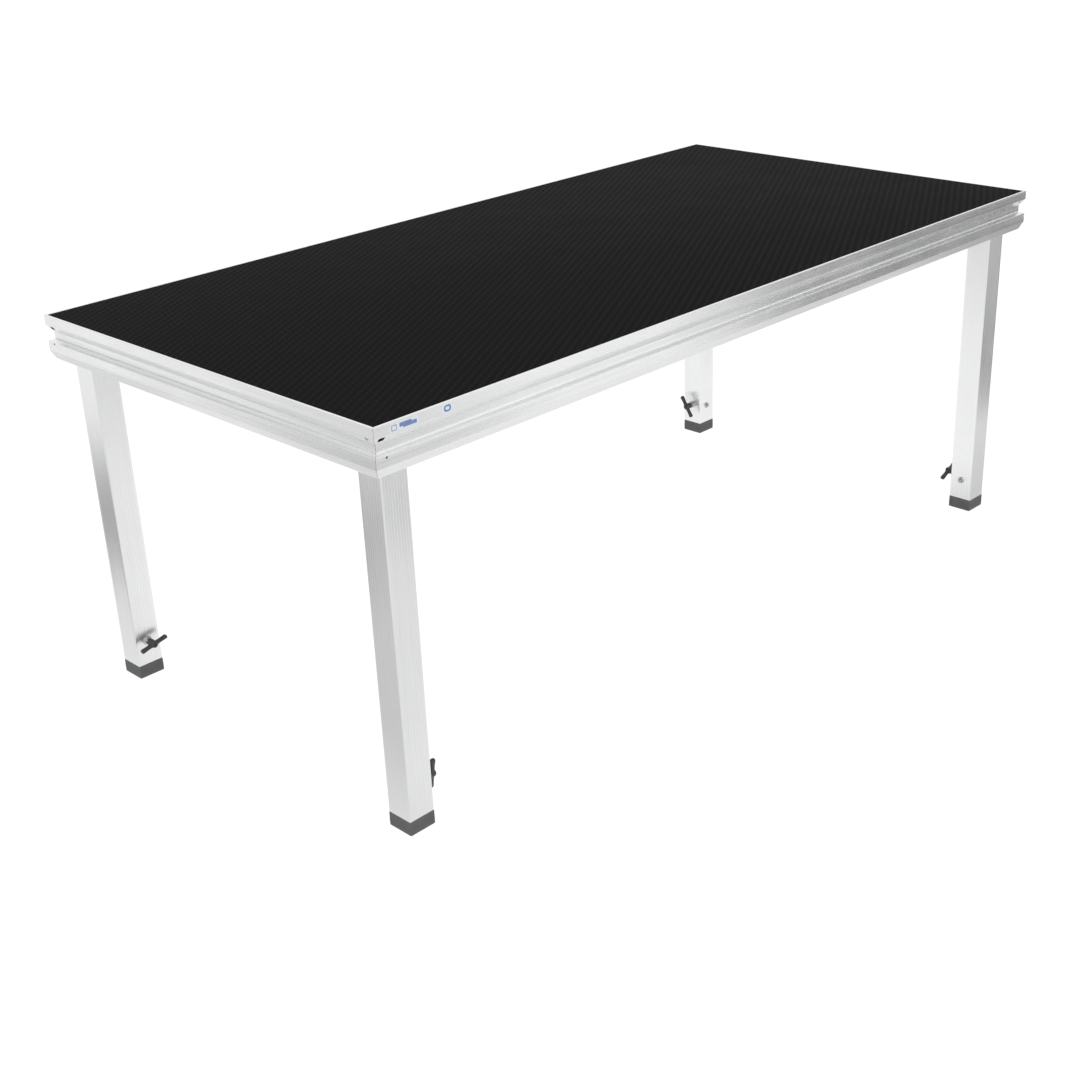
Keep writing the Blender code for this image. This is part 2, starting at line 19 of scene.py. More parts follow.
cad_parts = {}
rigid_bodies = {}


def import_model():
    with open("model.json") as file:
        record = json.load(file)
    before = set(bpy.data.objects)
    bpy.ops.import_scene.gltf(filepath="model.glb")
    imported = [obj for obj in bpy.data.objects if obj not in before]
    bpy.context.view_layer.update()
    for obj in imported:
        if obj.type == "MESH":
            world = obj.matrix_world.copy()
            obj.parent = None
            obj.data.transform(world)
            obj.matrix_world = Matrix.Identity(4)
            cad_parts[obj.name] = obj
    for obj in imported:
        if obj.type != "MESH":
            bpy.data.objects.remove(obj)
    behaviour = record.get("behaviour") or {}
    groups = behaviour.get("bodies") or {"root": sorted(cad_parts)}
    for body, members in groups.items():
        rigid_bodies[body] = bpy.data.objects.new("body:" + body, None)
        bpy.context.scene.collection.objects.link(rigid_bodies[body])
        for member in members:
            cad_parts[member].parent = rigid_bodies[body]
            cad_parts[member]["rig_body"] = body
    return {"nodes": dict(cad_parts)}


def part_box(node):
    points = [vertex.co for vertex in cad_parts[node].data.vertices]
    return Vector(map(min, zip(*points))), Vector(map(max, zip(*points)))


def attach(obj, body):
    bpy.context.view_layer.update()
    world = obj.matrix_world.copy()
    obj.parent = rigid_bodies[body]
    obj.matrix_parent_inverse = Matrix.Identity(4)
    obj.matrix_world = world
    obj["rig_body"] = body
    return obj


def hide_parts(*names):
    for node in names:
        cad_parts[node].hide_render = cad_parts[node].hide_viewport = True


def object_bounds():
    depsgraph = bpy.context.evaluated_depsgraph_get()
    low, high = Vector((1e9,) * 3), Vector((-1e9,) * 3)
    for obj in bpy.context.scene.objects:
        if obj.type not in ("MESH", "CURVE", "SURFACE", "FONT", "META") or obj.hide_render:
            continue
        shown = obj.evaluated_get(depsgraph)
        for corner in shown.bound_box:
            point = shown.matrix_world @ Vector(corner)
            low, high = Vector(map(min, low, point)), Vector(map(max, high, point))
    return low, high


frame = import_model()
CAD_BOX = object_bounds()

logging.basicConfig(level=logging.INFO, format="%(message)s")
LOG = logging.getLogger("stage_riser_platform")

Point2 = tuple[float, float]
Colour = tuple[float, float, float]
Socket = bpy.types.NodeSocket
Feed = float | tuple[float, ...] | Socket

GAP = 0.0003            # clearance between pieces that touch
ALONG_X = Matrix.Rotation(math.radians(90), 4, "Y")
ALONG_Y = Matrix.Rotation(math.radians(-90), 4, "X")
SQUARE = ((1, 1), (-1, 1), (-1, -1), (1, -1))    # a square's corners, anticlockwise


# ---------------------------------------------------------------- places ----


class Side(Enum):
    """The four sides of the deck, with their quarter turns from the front."""

    FRONT = 0
    RIGHT = 1
    BACK = 2
    LEFT = 3

    @property
    def label(self) -> str:
        """The side's word in node names."""
        return self.name.lower()

    def place(self) -> Matrix:
        """Where a piece made as (inset, height, along) goes on this side.

        Returns:
            The matrix from the section's own axes to the frame's.
        """
        low, high = CAD_BOX
        span = (high.y - low.y) if self.value % 2 == 0 else (high.x - low.x)
        turn = Matrix.Rotation(math.radians(90 * self.value), 4, "Z")
        upright = Matrix(((0, 0, 1, 0), (1, 0, 0, 0), (0, 1, 0, 0), (0, 0, 0, 1)))
        return turn @ Matrix.Translation((0, -span / 2, high.z)) @ upright

    def length(self) -> float:
        """How long this side is, corner to corner."""
        low, high = CAD_BOX
        return (high.x - low.x) if self.value % 2 == 0 else (high.y - low.y)


class Corner(Enum):
    """The four legs: quarter turns from the front left, and the knob's turn."""

    FRONT_LEFT = (0, 10.0)
    FRONT_RIGHT = (1, 66.0)
    BACK_RIGHT = (2, 33.0)
    BACK_LEFT = (3, 103.0)

    @property
    def label(self) -> str:
        """The corner's words in node names."""
        return self.name.lower()

    @property
    def spin(self) -> float:
        """How far round its wing knob stands, in radians."""
        return math.radians(self.value[1])

    def place(self) -> Matrix:
        """Where the corner's own axes are, on the floor at its leg's axis.

        Returns:
            The matrix from the corner's axes to the frame's.
        """
        low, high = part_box("leg_tube_" + self.label)
        middle = (low + high) / 2
        turn = Matrix.Rotation(math.radians(90 * self.value[0]), 4, "Z")
        return Matrix.Translation((middle.x, middle.y, 0)) @ turn


# ------------------------------------------------------------ shader graphs ----


class Grain(Enum):
    """Which way a finish runs."""

    MAP = "along the piece's own map"
    UPRIGHT = "along Z"
    NONE = "no way in particular"


class Graph:
    """One material's node tree, with short ways to add to it."""

    def __init__(self, name: str) -> None:
        """Starts a material with one Principled shader.

        Args:
            name: the material's name.
        """
        self.material = bpy.data.materials.new(name)
        self.material.use_nodes = True
        self.tree = self.material.node_tree
        self.shader = self.tree.nodes["Principled BSDF"]

    def node(self, kind: str, feeds: dict[str | int, Feed], **settings: object) -> bpy.types.Node:
        """Adds a node.

        Args:
            kind: the node's type, without its "ShaderNode" prefix.
            feeds: what goes into its inputs, by name or number.
            settings: its own properties.

        Returns:
            The new node.
        """
        made = self.tree.nodes.new("ShaderNode" + kind)
        for key, value in settings.items():
            setattr(made, key, value)
        for key, value in feeds.items():
            self.feed(made.inputs[key], value)
        return made

    def feed(self, target: Socket, value: Feed) -> None:
        """Links a socket, or sets its own value.

        Args:
            target: the input to fill.
            value: a socket to link, or a number or tuple to set.
        """
        if isinstance(value, bpy.types.NodeSocket):
            self.tree.links.new(value, target)
        else:
            target.default_value = value

    def shade(self, **feeds: Feed) -> None:
        """Fills the shader's inputs, with _ for each space in their names.

        Args:
            feeds: the value or socket of each input.
        """
        for key, value in feeds.items():
            if key in ("Base_Color", "Emission_Color") and isinstance(value, tuple):
                value = (*value, 1.0)
            self.feed(self.shader.inputs[key.replace("_", " ")], value)

    def coordinates(self, grain: Grain) -> Socket:
        """Gives metres over the surface: along then round for a mapped piece."""
        source = self.node("TexCoord", {})
        return source.outputs["UV" if grain is Grain.MAP else "Object"]

    def stretch(self, vector: Socket, scale: tuple[float, float, float]) -> Socket:
        """Scales coordinates by axis."""
        return self.node("Mapping", {"Vector": vector, "Scale": scale}).outputs["Vector"]

    def noise(self, vector: Socket, scale: float, detail: float = 3.0, rough: float = 0.55) -> Socket:
        """Adds smooth noise from 0 to 1.

        Args:
            vector: where to read it.
            scale: features in each metre.
            detail: octaves.
            rough: how much each octave keeps.

        Returns:
            The noise value.
        """
        feeds = {"Vector": vector, "Scale": scale, "Detail": detail, "Roughness": rough}
        return self.node("TexNoise", feeds).outputs["Fac"]

    def maths(self, operation: str, first: Feed, second: Feed = 0.0) -> Socket:
        """Adds one sum."""
        return self.node("Math", {0: first, 1: second}, operation=operation).outputs[0]

    def span(self, value: Feed, ends: tuple[float, float], to: tuple[float, float]) -> Socket:
        """Maps a range of values to another, and holds it there.

        Args:
            value: the value to map.
            ends: the range it is read over.
            to: the range it is mapped to.

        Returns:
            The mapped value.
        """
        feeds = {"Value": value, "From Min": ends[0], "From Max": ends[1], "To Min": to[0], "To Max": to[1]}
        return self.node("MapRange", feeds).outputs["Result"]

    def mix(self, factor: Feed, first: Feed, second: Feed) -> Socket:
        """Mixes two colours.

        Args:
            factor: how much of the second.
            first: the first colour.
            second: the second colour.

        Returns:
            The mixed colour.
        """
        first, second = ((*c, 1.0) if isinstance(c, tuple) else c for c in (first, second))
        feeds = {0: factor, 6: first, 7: second}
        return self.node("Mix", feeds, data_type="RGBA").outputs[2]

    def bump(self, height: Socket, distance: float) -> Socket:
        """Turns a height into a normal, with distance in metres."""
        return self.node("Bump", {"Height": height, "Distance": distance, "Strength": 1.0}).outputs["Normal"]

    def worn_edges(self) -> Socket:
        """Finds the outward edges that hands and floors rub bright."""
        edge = self.node("NewGeometry", {}).outputs["Pointiness"]
        return self.span(edge, (0.51, 0.56), (0.0, 1.0))

    def wave(self, vector: Socket, angle: float, period: float, bend: Feed = 0.0) -> Socket:
        """Adds straight ridges of one period.

        Args:
            vector: where to read them, in metres.
            angle: the direction across the ridges, in degrees from X.
            period: ridge to ridge, in metres.
            bend: how far each ridge is pushed across its line, in turns.

        Returns:
            A value from -1 in the valleys to 1 on the ridges.
        """
        turns = 2 * math.pi / period
        across = (turns * math.cos(math.radians(angle)), turns * math.sin(math.radians(angle)), 0.0)
        dot = self.node("VectorMath", {0: vector, 1: across}, operation="DOT_PRODUCT")
        return self.maths("COSINE", self.maths("ADD", dot.outputs["Value"], bend))


# ----------------------------------------------------------------- finishes ----


@dataclass(frozen=True)
class DrawnMetal:
    """Extruded or drawn metal with fine lines along it, scuffs and rubbed edges.

    Attributes:
        name: the material's name.
        colour: the clean metal's colour.
        dull: the colour where it has dulled.
        roughness: how rough the clean metal is.
        lines: fine drawn lines in each metre across.
        relief: depth of those lines, in metres.
        anisotropy: how far its shine is drawn out.
        grain: which way the lines run.
    """

    name: str
    colour: Colour = (0.86, 0.87, 0.868)
    dull: Colour = (0.66, 0.672, 0.668)
    roughness: float = 0.24
    lines: float = 900.0
    relief: float = 0.000016
    anisotropy: float = 0.7
    grain: Grain = Grain.MAP

    def make(self) -> bpy.types.Material:
        """Builds the finish.

        Returns:
            The material.
        """
        graph = Graph(self.name)
        where = graph.coordinates(self.grain)
        mapped = self.grain is Grain.MAP
        wide = self.lines / 7
        along = (1.6, self.lines, 1.0) if mapped else (self.lines, self.lines, 1.6)
        broad = (0.5, wide, 1.0) if mapped else (wide, wide, 0.5)
        fine = graph.noise(graph.stretch(where, along), 1.0, 3.0, 0.5)
        die = graph.noise(graph.stretch(where, broad), 1.0, 2.0, 0.5)
        cloud = graph.noise(where, 5.0, 4.0, 0.6)
        scuff = graph.noise(graph.stretch(where, (160.0, 260.0, 160.0)), 1.0, 5.0, 0.75)
        handling = graph.span(scuff, (0.66, 0.74), (0.0, 1.0))
        tone = graph.mix(graph.span(fine, (0.35, 0.68), (0.0, 0.26)), self.colour, self.dull)
        tone = graph.mix(graph.span(die, (0.4, 0.7), (0.0, 0.22)), tone, self.dull)
        tone = graph.mix(graph.span(cloud, (0.42, 0.72), (0.0, 0.14)), tone, self.dull)
        tone = graph.mix(graph.maths("MULTIPLY", graph.worn_edges(), 0.5), tone, (0.93, 0.935, 0.93))
        rough = graph.span(fine, (0.3, 0.7), (self.roughness - 0.05, self.roughness + 0.07))
        rough = graph.maths("ADD", rough, graph.span(cloud, (0.4, 0.75), (0.0, 0.07)))
        rough = graph.maths("ADD", rough, graph.maths("MULTIPLY", handling, 0.05))
        height = graph.maths("ADD", fine, graph.maths("MULTIPLY", die, 0.6))
        height = graph.maths("SUBTRACT", height, graph.maths("MULTIPLY", handling, 0.04))
        graph.shade(Base_Color=tone, Roughness=rough, Metallic=1.0, Normal=graph.bump(height, self.relief))
        way = {"direction_type": "UV_MAP"} if mapped else {"direction_type": "RADIAL", "axis": "Z"}
        graph.shade(Anisotropic=self.anisotropy, Anisotropic_Rotation=0.25 if mapped else 0.0)
        graph.shade(Tangent=graph.node("Tangent", {}, **way).outputs[0])
        return graph.material


@dataclass(frozen=True)
class CastMetal:
    """Sand-cast aluminium: a fine pebbled skin with dark pores.

    Attributes:
        name: the material's name.
        colour: the skin's colour.
    """

    name: str
    colour: Colour = (0.60, 0.61, 0.615)

    def make(self) -> bpy.types.Material:
        """Builds the finish.

        Returns:
            The material.
        """
        graph = Graph(self.name)
        where = graph.coordinates(Grain.NONE)
        sand = graph.noise(where, 900.0, 3.0, 0.6)
        cloud = graph.noise(where, 60.0, 4.0, 0.6)
        pores = graph.node("TexVoronoi", {"Vector": where, "Scale": 420.0}).outputs["Distance"]
        pits = graph.span(pores, (0.0, 0.22), (1.0, 0.0))
        tone = graph.mix(graph.span(cloud, (0.35, 0.7), (0.0, 0.6)), self.colour, (0.42, 0.425, 0.43))
        tone = graph.mix(graph.maths("MULTIPLY", pits, 0.5), tone, (0.2, 0.2, 0.2))
        tone = graph.mix(graph.worn_edges(), tone, (0.74, 0.745, 0.75))
        height = graph.maths("SUBTRACT", sand, pits)
        rough = graph.span(sand, (0.3, 0.7), (0.48, 0.66))
        graph.shade(Base_Color=tone, Metallic=1.0, Roughness=rough, Normal=graph.bump(height, 0.00012))
        return graph.material


@dataclass(frozen=True)
class PlatedSteel:
    """Zinc-plated steel with a faint spangle.

    Attributes:
        name: the material's name.
        colour: the plate's colour.
        shade: the colour where it has dulled.
        roughness: how rough the clean plate is.
    """

    name: str
    colour: Colour = (0.62, 0.63, 0.63)
    shade: Colour = (0.42, 0.43, 0.44)
    roughness: float = 0.3

    def make(self) -> bpy.types.Material:
        """Builds the finish.

        Returns:
            The material.
        """
        graph = Graph(self.name)
        where = graph.coordinates(Grain.NONE)
        spangle = graph.noise(where, 260.0, 3.0, 0.6)
        fine = graph.noise(where, 2400.0, 2.0, 0.5)
        tone = graph.mix(graph.span(spangle, (0.4, 0.65), (0.0, 0.8)), self.colour, self.shade)
        tone = graph.mix(graph.maths("MULTIPLY", graph.worn_edges(), 0.6), tone, (0.78, 0.78, 0.77))
        rough = graph.span(spangle, (0.35, 0.7), (self.roughness, self.roughness + 0.16))
        graph.shade(Base_Color=tone, Metallic=1.0, Roughness=rough, Normal=graph.bump(fine, 0.00002))
        return graph.material


@dataclass(frozen=True)
class Moulded:
    """Moulded rubber, plastic or nylon with a fine grain and scuffed edges.

    Attributes:
        name: the material's name.
        colour: the clean colour.
        scuffed: the colour where it is rubbed or dusty.
        roughness: how rough the clean surface is.
        grain: grains in each metre.
        relief: depth of the grain, in metres.
        scuffing: how much of it is scuffed, from 0 to 1.
    """

    name: str
    colour: Colour
    scuffed: Colour
    roughness: float = 0.5
    grain: float = 1500.0
    relief: float = 0.00005
    scuffing: float = 0.4

    def make(self) -> bpy.types.Material:
        """Builds the finish.

        Returns:
            The material.
        """
        graph = Graph(self.name)
        where = graph.coordinates(Grain.NONE)
        skin = graph.noise(where, self.grain, 2.0, 0.5)
        cloud = graph.noise(where, 55.0, 4.0, 0.65)
        rubbed = graph.noise(graph.stretch(where, (300.0, 300.0, 700.0)), 1.0, 4.0, 0.7)
        marks = graph.maths("MULTIPLY", graph.span(rubbed, (0.55, 0.72), (0.0, 1.0)), self.scuffing)
        tone = graph.mix(graph.span(cloud, (0.38, 0.7), (0.0, 0.45)), self.colour, self.scuffed)
        tone = graph.mix(marks, tone, self.scuffed)
        tone = graph.mix(graph.maths("MULTIPLY", graph.worn_edges(), 0.7), tone, self.scuffed)
        rough = graph.span(cloud, (0.35, 0.7), (self.roughness - 0.05, self.roughness + 0.1))
        rough = graph.maths("ADD", rough, graph.maths("MULTIPLY", marks, 0.15))
        height = graph.maths("ADD", skin, graph.maths("MULTIPLY", marks, 0.5))
        graph.shade(Base_Color=tone, Roughness=rough, Normal=graph.bump(height, self.relief))
        graph.shade(Metallic=0.0, Specular_IOR_Level=0.4)
        return graph.material


@dataclass(frozen=True)
class MeshFilm:
    """Black phenolic film pressed into a fine raised anti-slip mesh.

    Attributes:
        name: the material's name.
        pitch: ridge to ridge, in metres.
        way: the direction across the main ridges, in degrees.
        relief: height of the ridges, in metres.
        valley: the film's colour between the ridges.
        ridge: its colour on them.
    """

    name: str
    pitch: float = 0.0147
    way: float = 120.0
    relief: float = 0.0004
    valley: Colour = (0.0100, 0.0100, 0.0102)
    ridge: Colour = (0.0150, 0.0150, 0.0152)

    def make(self) -> bpy.types.Material:
        """Builds the finish.

        Returns:
            The material.
        """
        graph = Graph(self.name)
        where = graph.coordinates(Grain.NONE)
        bend = graph.maths("MULTIPLY", graph.wave(where, self.way - 90, self.pitch * 1.155), 0.75)
        main = graph.wave(where, self.way, self.pitch, bend)
        cross = graph.wave(where, self.way - 120, self.pitch)
        other = graph.wave(where, self.way - 60, self.pitch)
        ridges = graph.span(main, (-0.35, 0.95), (0.0, 1.0))
        beads = graph.span(graph.maths("ADD", cross, other), (-0.6, 1.8), (0.0, 1.0))
        grain = graph.noise(where, 1300.0, 3.0, 0.6)
        worn = graph.noise(where, 9.0, 5.0, 0.65)
        dust = graph.noise(where, 60.0, 5.0, 0.7)
        height = graph.maths("MULTIPLY", ridges, graph.span(beads, (0.0, 1.0), (0.62, 1.0)))
        raised = graph.maths("ADD", height, graph.maths("MULTIPLY", grain, 0.22))
        tone = graph.mix(height, self.valley, self.ridge)
        tone = graph.mix(graph.span(worn, (0.35, 0.75), (0.0, 0.35)), tone, (0.0135, 0.0135, 0.0137))
        tone = graph.mix(graph.span(dust, (0.6, 0.8), (0.0, 0.2)), tone, (0.021, 0.0205, 0.020))
        rough = graph.span(height, (0.0, 1.0), (0.78, 0.66))
        rough = graph.maths("ADD", rough, graph.span(worn, (0.35, 0.75), (-0.03, 0.05)))
        graph.shade(Base_Color=tone, Roughness=rough, Normal=graph.bump(raised, self.relief))
        graph.shade(Metallic=0.0, Specular_IOR_Level=0.014)
        return graph.material


@dataclass(frozen=True)
class SmoothFilm:
    """Brown phenolic film on the board's underside, with the veneer telling through.

    Attributes:
        name: the material's name.
        colour: the film's colour.
        streak: its colour over the veneer's grain.
    """

    name: str
    colour: Colour = (0.060, 0.030, 0.020)
    streak: Colour = (0.095, 0.050, 0.032)

    def make(self) -> bpy.types.Material:
        """Builds the finish.

        Returns:
            The material.
        """
        graph = Graph(self.name)
        where = graph.coordinates(Grain.NONE)
        veneer = graph.noise(graph.stretch(where, (3.0, 110.0, 3.0)), 1.0, 6.0, 0.7)
        figure = graph.noise(graph.stretch(where, (1.2, 9.0, 1.2)), 1.0, 3.0, 0.5)
        tone = graph.mix(graph.span(veneer, (0.35, 0.7), (0.0, 1.0)), self.colour, self.streak)
        tone = graph.mix(graph.span(figure, (0.4, 0.7), (0.0, 0.35)), tone, (0.04, 0.02, 0.014))
        rough = graph.span(veneer, (0.3, 0.7), (0.3, 0.42))
        graph.shade(Base_Color=tone, Roughness=rough, Normal=graph.bump(veneer, 0.00006))
        graph.shade(Metallic=0.0, Coat_Weight=0.2, Coat_Roughness=0.25)
        return graph.material


@dataclass(frozen=True)
class PlyEdge:
    """The board's sawn edge, ply upon ply.

    Attributes:
        name: the material's name.
        ply: thickness of one ply, in metres.
    """

    name: str
    ply: float = 0.0014

    def make(self) -> bpy.types.Material:
        """Builds the finish.

        Returns:
            The material.
        """
        graph = Graph(self.name)
        where = graph.coordinates(Grain.NONE)
        layers = graph.node("SeparateXYZ", {0: where}).outputs["Z"]
        turn = graph.maths("SINE", graph.maths("MULTIPLY", layers, math.pi / self.ply))
        fibre = graph.noise(graph.stretch(where, (300.0, 300.0, 2600.0)), 1.0, 4.0, 0.7)
        tone = graph.mix(graph.span(turn, (-0.3, 0.3), (0.0, 1.0)), (0.40, 0.27, 0.15), (0.17, 0.10, 0.055))
        tone = graph.mix(graph.span(fibre, (0.4, 0.7), (0.0, 0.5)), tone, (0.10, 0.06, 0.035))
        rough = graph.span(fibre, (0.3, 0.7), (0.62, 0.82))
        graph.shade(Base_Color=tone, Roughness=rough, Normal=graph.bump(fibre, 0.0001), Metallic=0.0)
        return graph.material


@dataclass(frozen=True)
class LabelFilm:
    """Printed film of a label: plain colours with a faint print grain.

    Attributes:
        name: the material's name.
        colour: the print's colour.
        faded: its colour where it has faded.
    """

    name: str
    colour: Colour
    faded: Colour

    def make(self) -> bpy.types.Material:
        """Builds the finish.

        Returns:
            The material.
        """
        graph = Graph(self.name)
        where = graph.coordinates(Grain.NONE)
        print_grain = graph.noise(where, 1800.0, 2.0, 0.5)
        fade = graph.noise(where, 120.0, 3.0, 0.6)
        tone = graph.mix(graph.span(fade, (0.35, 0.7), (0.0, 0.7)), self.colour, self.faded)
        tone = graph.mix(graph.span(print_grain, (0.45, 0.7), (0.0, 0.25)), tone, self.faded)
        rough = graph.span(fade, (0.3, 0.7), (0.32, 0.46))
        graph.shade(Base_Color=tone, Roughness=rough, Normal=graph.bump(print_grain, 0.00001))
        graph.shade(Metallic=0.0, Specular_IOR_Level=0.45)
        return graph.material


@dataclass(frozen=True)
class FinishBook:
    """Every finish on the platform, made once and shared."""

    rail: bpy.types.Material = field(default_factory=DrawnMetal("rail_aluminium").make)
    tube: bpy.types.Material = field(
        default_factory=DrawnMetal("tube_aluminium", lines=1300.0, roughness=0.3, relief=0.00005).make
    )
    beam: bpy.types.Material = field(
        default_factory=DrawnMetal("beam_aluminium", (0.8, 0.81, 0.812), (0.58, 0.59, 0.59), 0.34).make
    )
    inner: bpy.types.Material = field(
        default_factory=DrawnMetal("inner_aluminium", roughness=0.24, lines=1500.0, grain=Grain.UPRIGHT).make
    )
    weld: bpy.types.Material = field(default_factory=CastMetal("weld_bead", (0.7, 0.71, 0.71)).make)
    cast: bpy.types.Material = field(default_factory=CastMetal("cast_aluminium").make)
    zinc: bpy.types.Material = field(default_factory=PlatedSteel("zinc_plate").make)
    button: bpy.types.Material = field(
        default_factory=PlatedSteel("grey_plate", (0.42, 0.425, 0.43), (0.28, 0.285, 0.29), 0.36).make
    )
    dark_steel: bpy.types.Material = field(
        default_factory=PlatedSteel("dark_oxide", (0.10, 0.10, 0.105), (0.06, 0.06, 0.062), 0.42).make
    )
    rubber: bpy.types.Material = field(
        default_factory=Moulded("dark_rubber", (0.078, 0.079, 0.079), (0.13, 0.131, 0.131), 0.62).make
    )
    knob: bpy.types.Material = field(
        default_factory=Moulded(
            "knob_plastic", (0.040, 0.040, 0.042), (0.075, 0.075, 0.077), 0.42, 2200.0
        ).make
    )
    nylon: bpy.types.Material = field(
        default_factory=Moulded("black_nylon", (0.014, 0.014, 0.015), (0.035, 0.035, 0.036), 0.36).make
    )
    film: bpy.types.Material = field(default_factory=MeshFilm("anti_slip_film").make)
    underside: bpy.types.Material = field(default_factory=SmoothFilm("brown_film").make)
    plies: bpy.types.Material = field(default_factory=PlyEdge("ply_edge").make)
    label_ground: bpy.types.Material = field(
        default_factory=LabelFilm("label_ground", (0.66, 0.72, 0.82), (0.74, 0.78, 0.85)).make
    )
    label_blue: bpy.types.Material = field(
        default_factory=LabelFilm("label_blue", (0.13, 0.20, 0.42), (0.20, 0.28, 0.47)).make
    )
    label_grey: bpy.types.Material = field(
        default_factory=LabelFilm("label_grey", (0.30, 0.33, 0.37), (0.42, 0.45, 0.50)).make
    )


# ------------------------------------------------------------------- meshes ----


class Outline:
    """Closed flat outlines, each a list of points across and up."""

    @staticmethod
    def rounded(corners: Sequence[tuple[float, float, float]], steps: int = 4) -> list[Point2]:
        """Rounds each corner of a polygon by its own radius.

        Args:
            corners: each corner's across, up and radius.
            steps: facets in each round.

        Returns:
            The rounded outline.
        """
        points: list[Point2] = []
        for index, (across, up, radius) in enumerate(corners):
            here = Vector((across, up))
            before = Vector(corners[index - 1][:2]) - here
            after = Vector(corners[(index + 1) % len(corners)][:2]) - here
            if radius <= 0:
                points.append((across, up))
                continue
            half = before.angle(after) / 2
            reach = min(radius / math.tan(half), 0.45 * min(before.length, after.length))
            before.normalize()
            after.normalize()
            middle = here + (before + after).normalized() * reach / math.cos(half)
            start = here + before * reach - middle
            end = here + after * reach - middle
            sweep = math.atan2(start.x * end.y - start.y * end.x, start.dot(end))
            for step in range(steps + 1):
                turned = Matrix.Rotation(sweep * step / steps, 2) @ start
                points.append(tuple(middle + turned))
        return points

    @staticmethod
    def square(half: float, radius: float, steps: int = 4) -> list[Point2]:
        """Gives a square with rounded corners."""
        return Outline.rounded([(half * a, half * b, radius) for a, b in SQUARE], steps)

    @staticmethod
    def run(points: Sequence[Point2]) -> list[float]:
        """Measures the way round an outline.

        Args:
            points: the outline.

        Returns:
            The distance at each point, and at the first again.
        """
        total = [0.0]
        for here, after in zip(points, [*points[1:], points[0]]):
            total.append(total[-1] + math.dist(here, after))
        return total


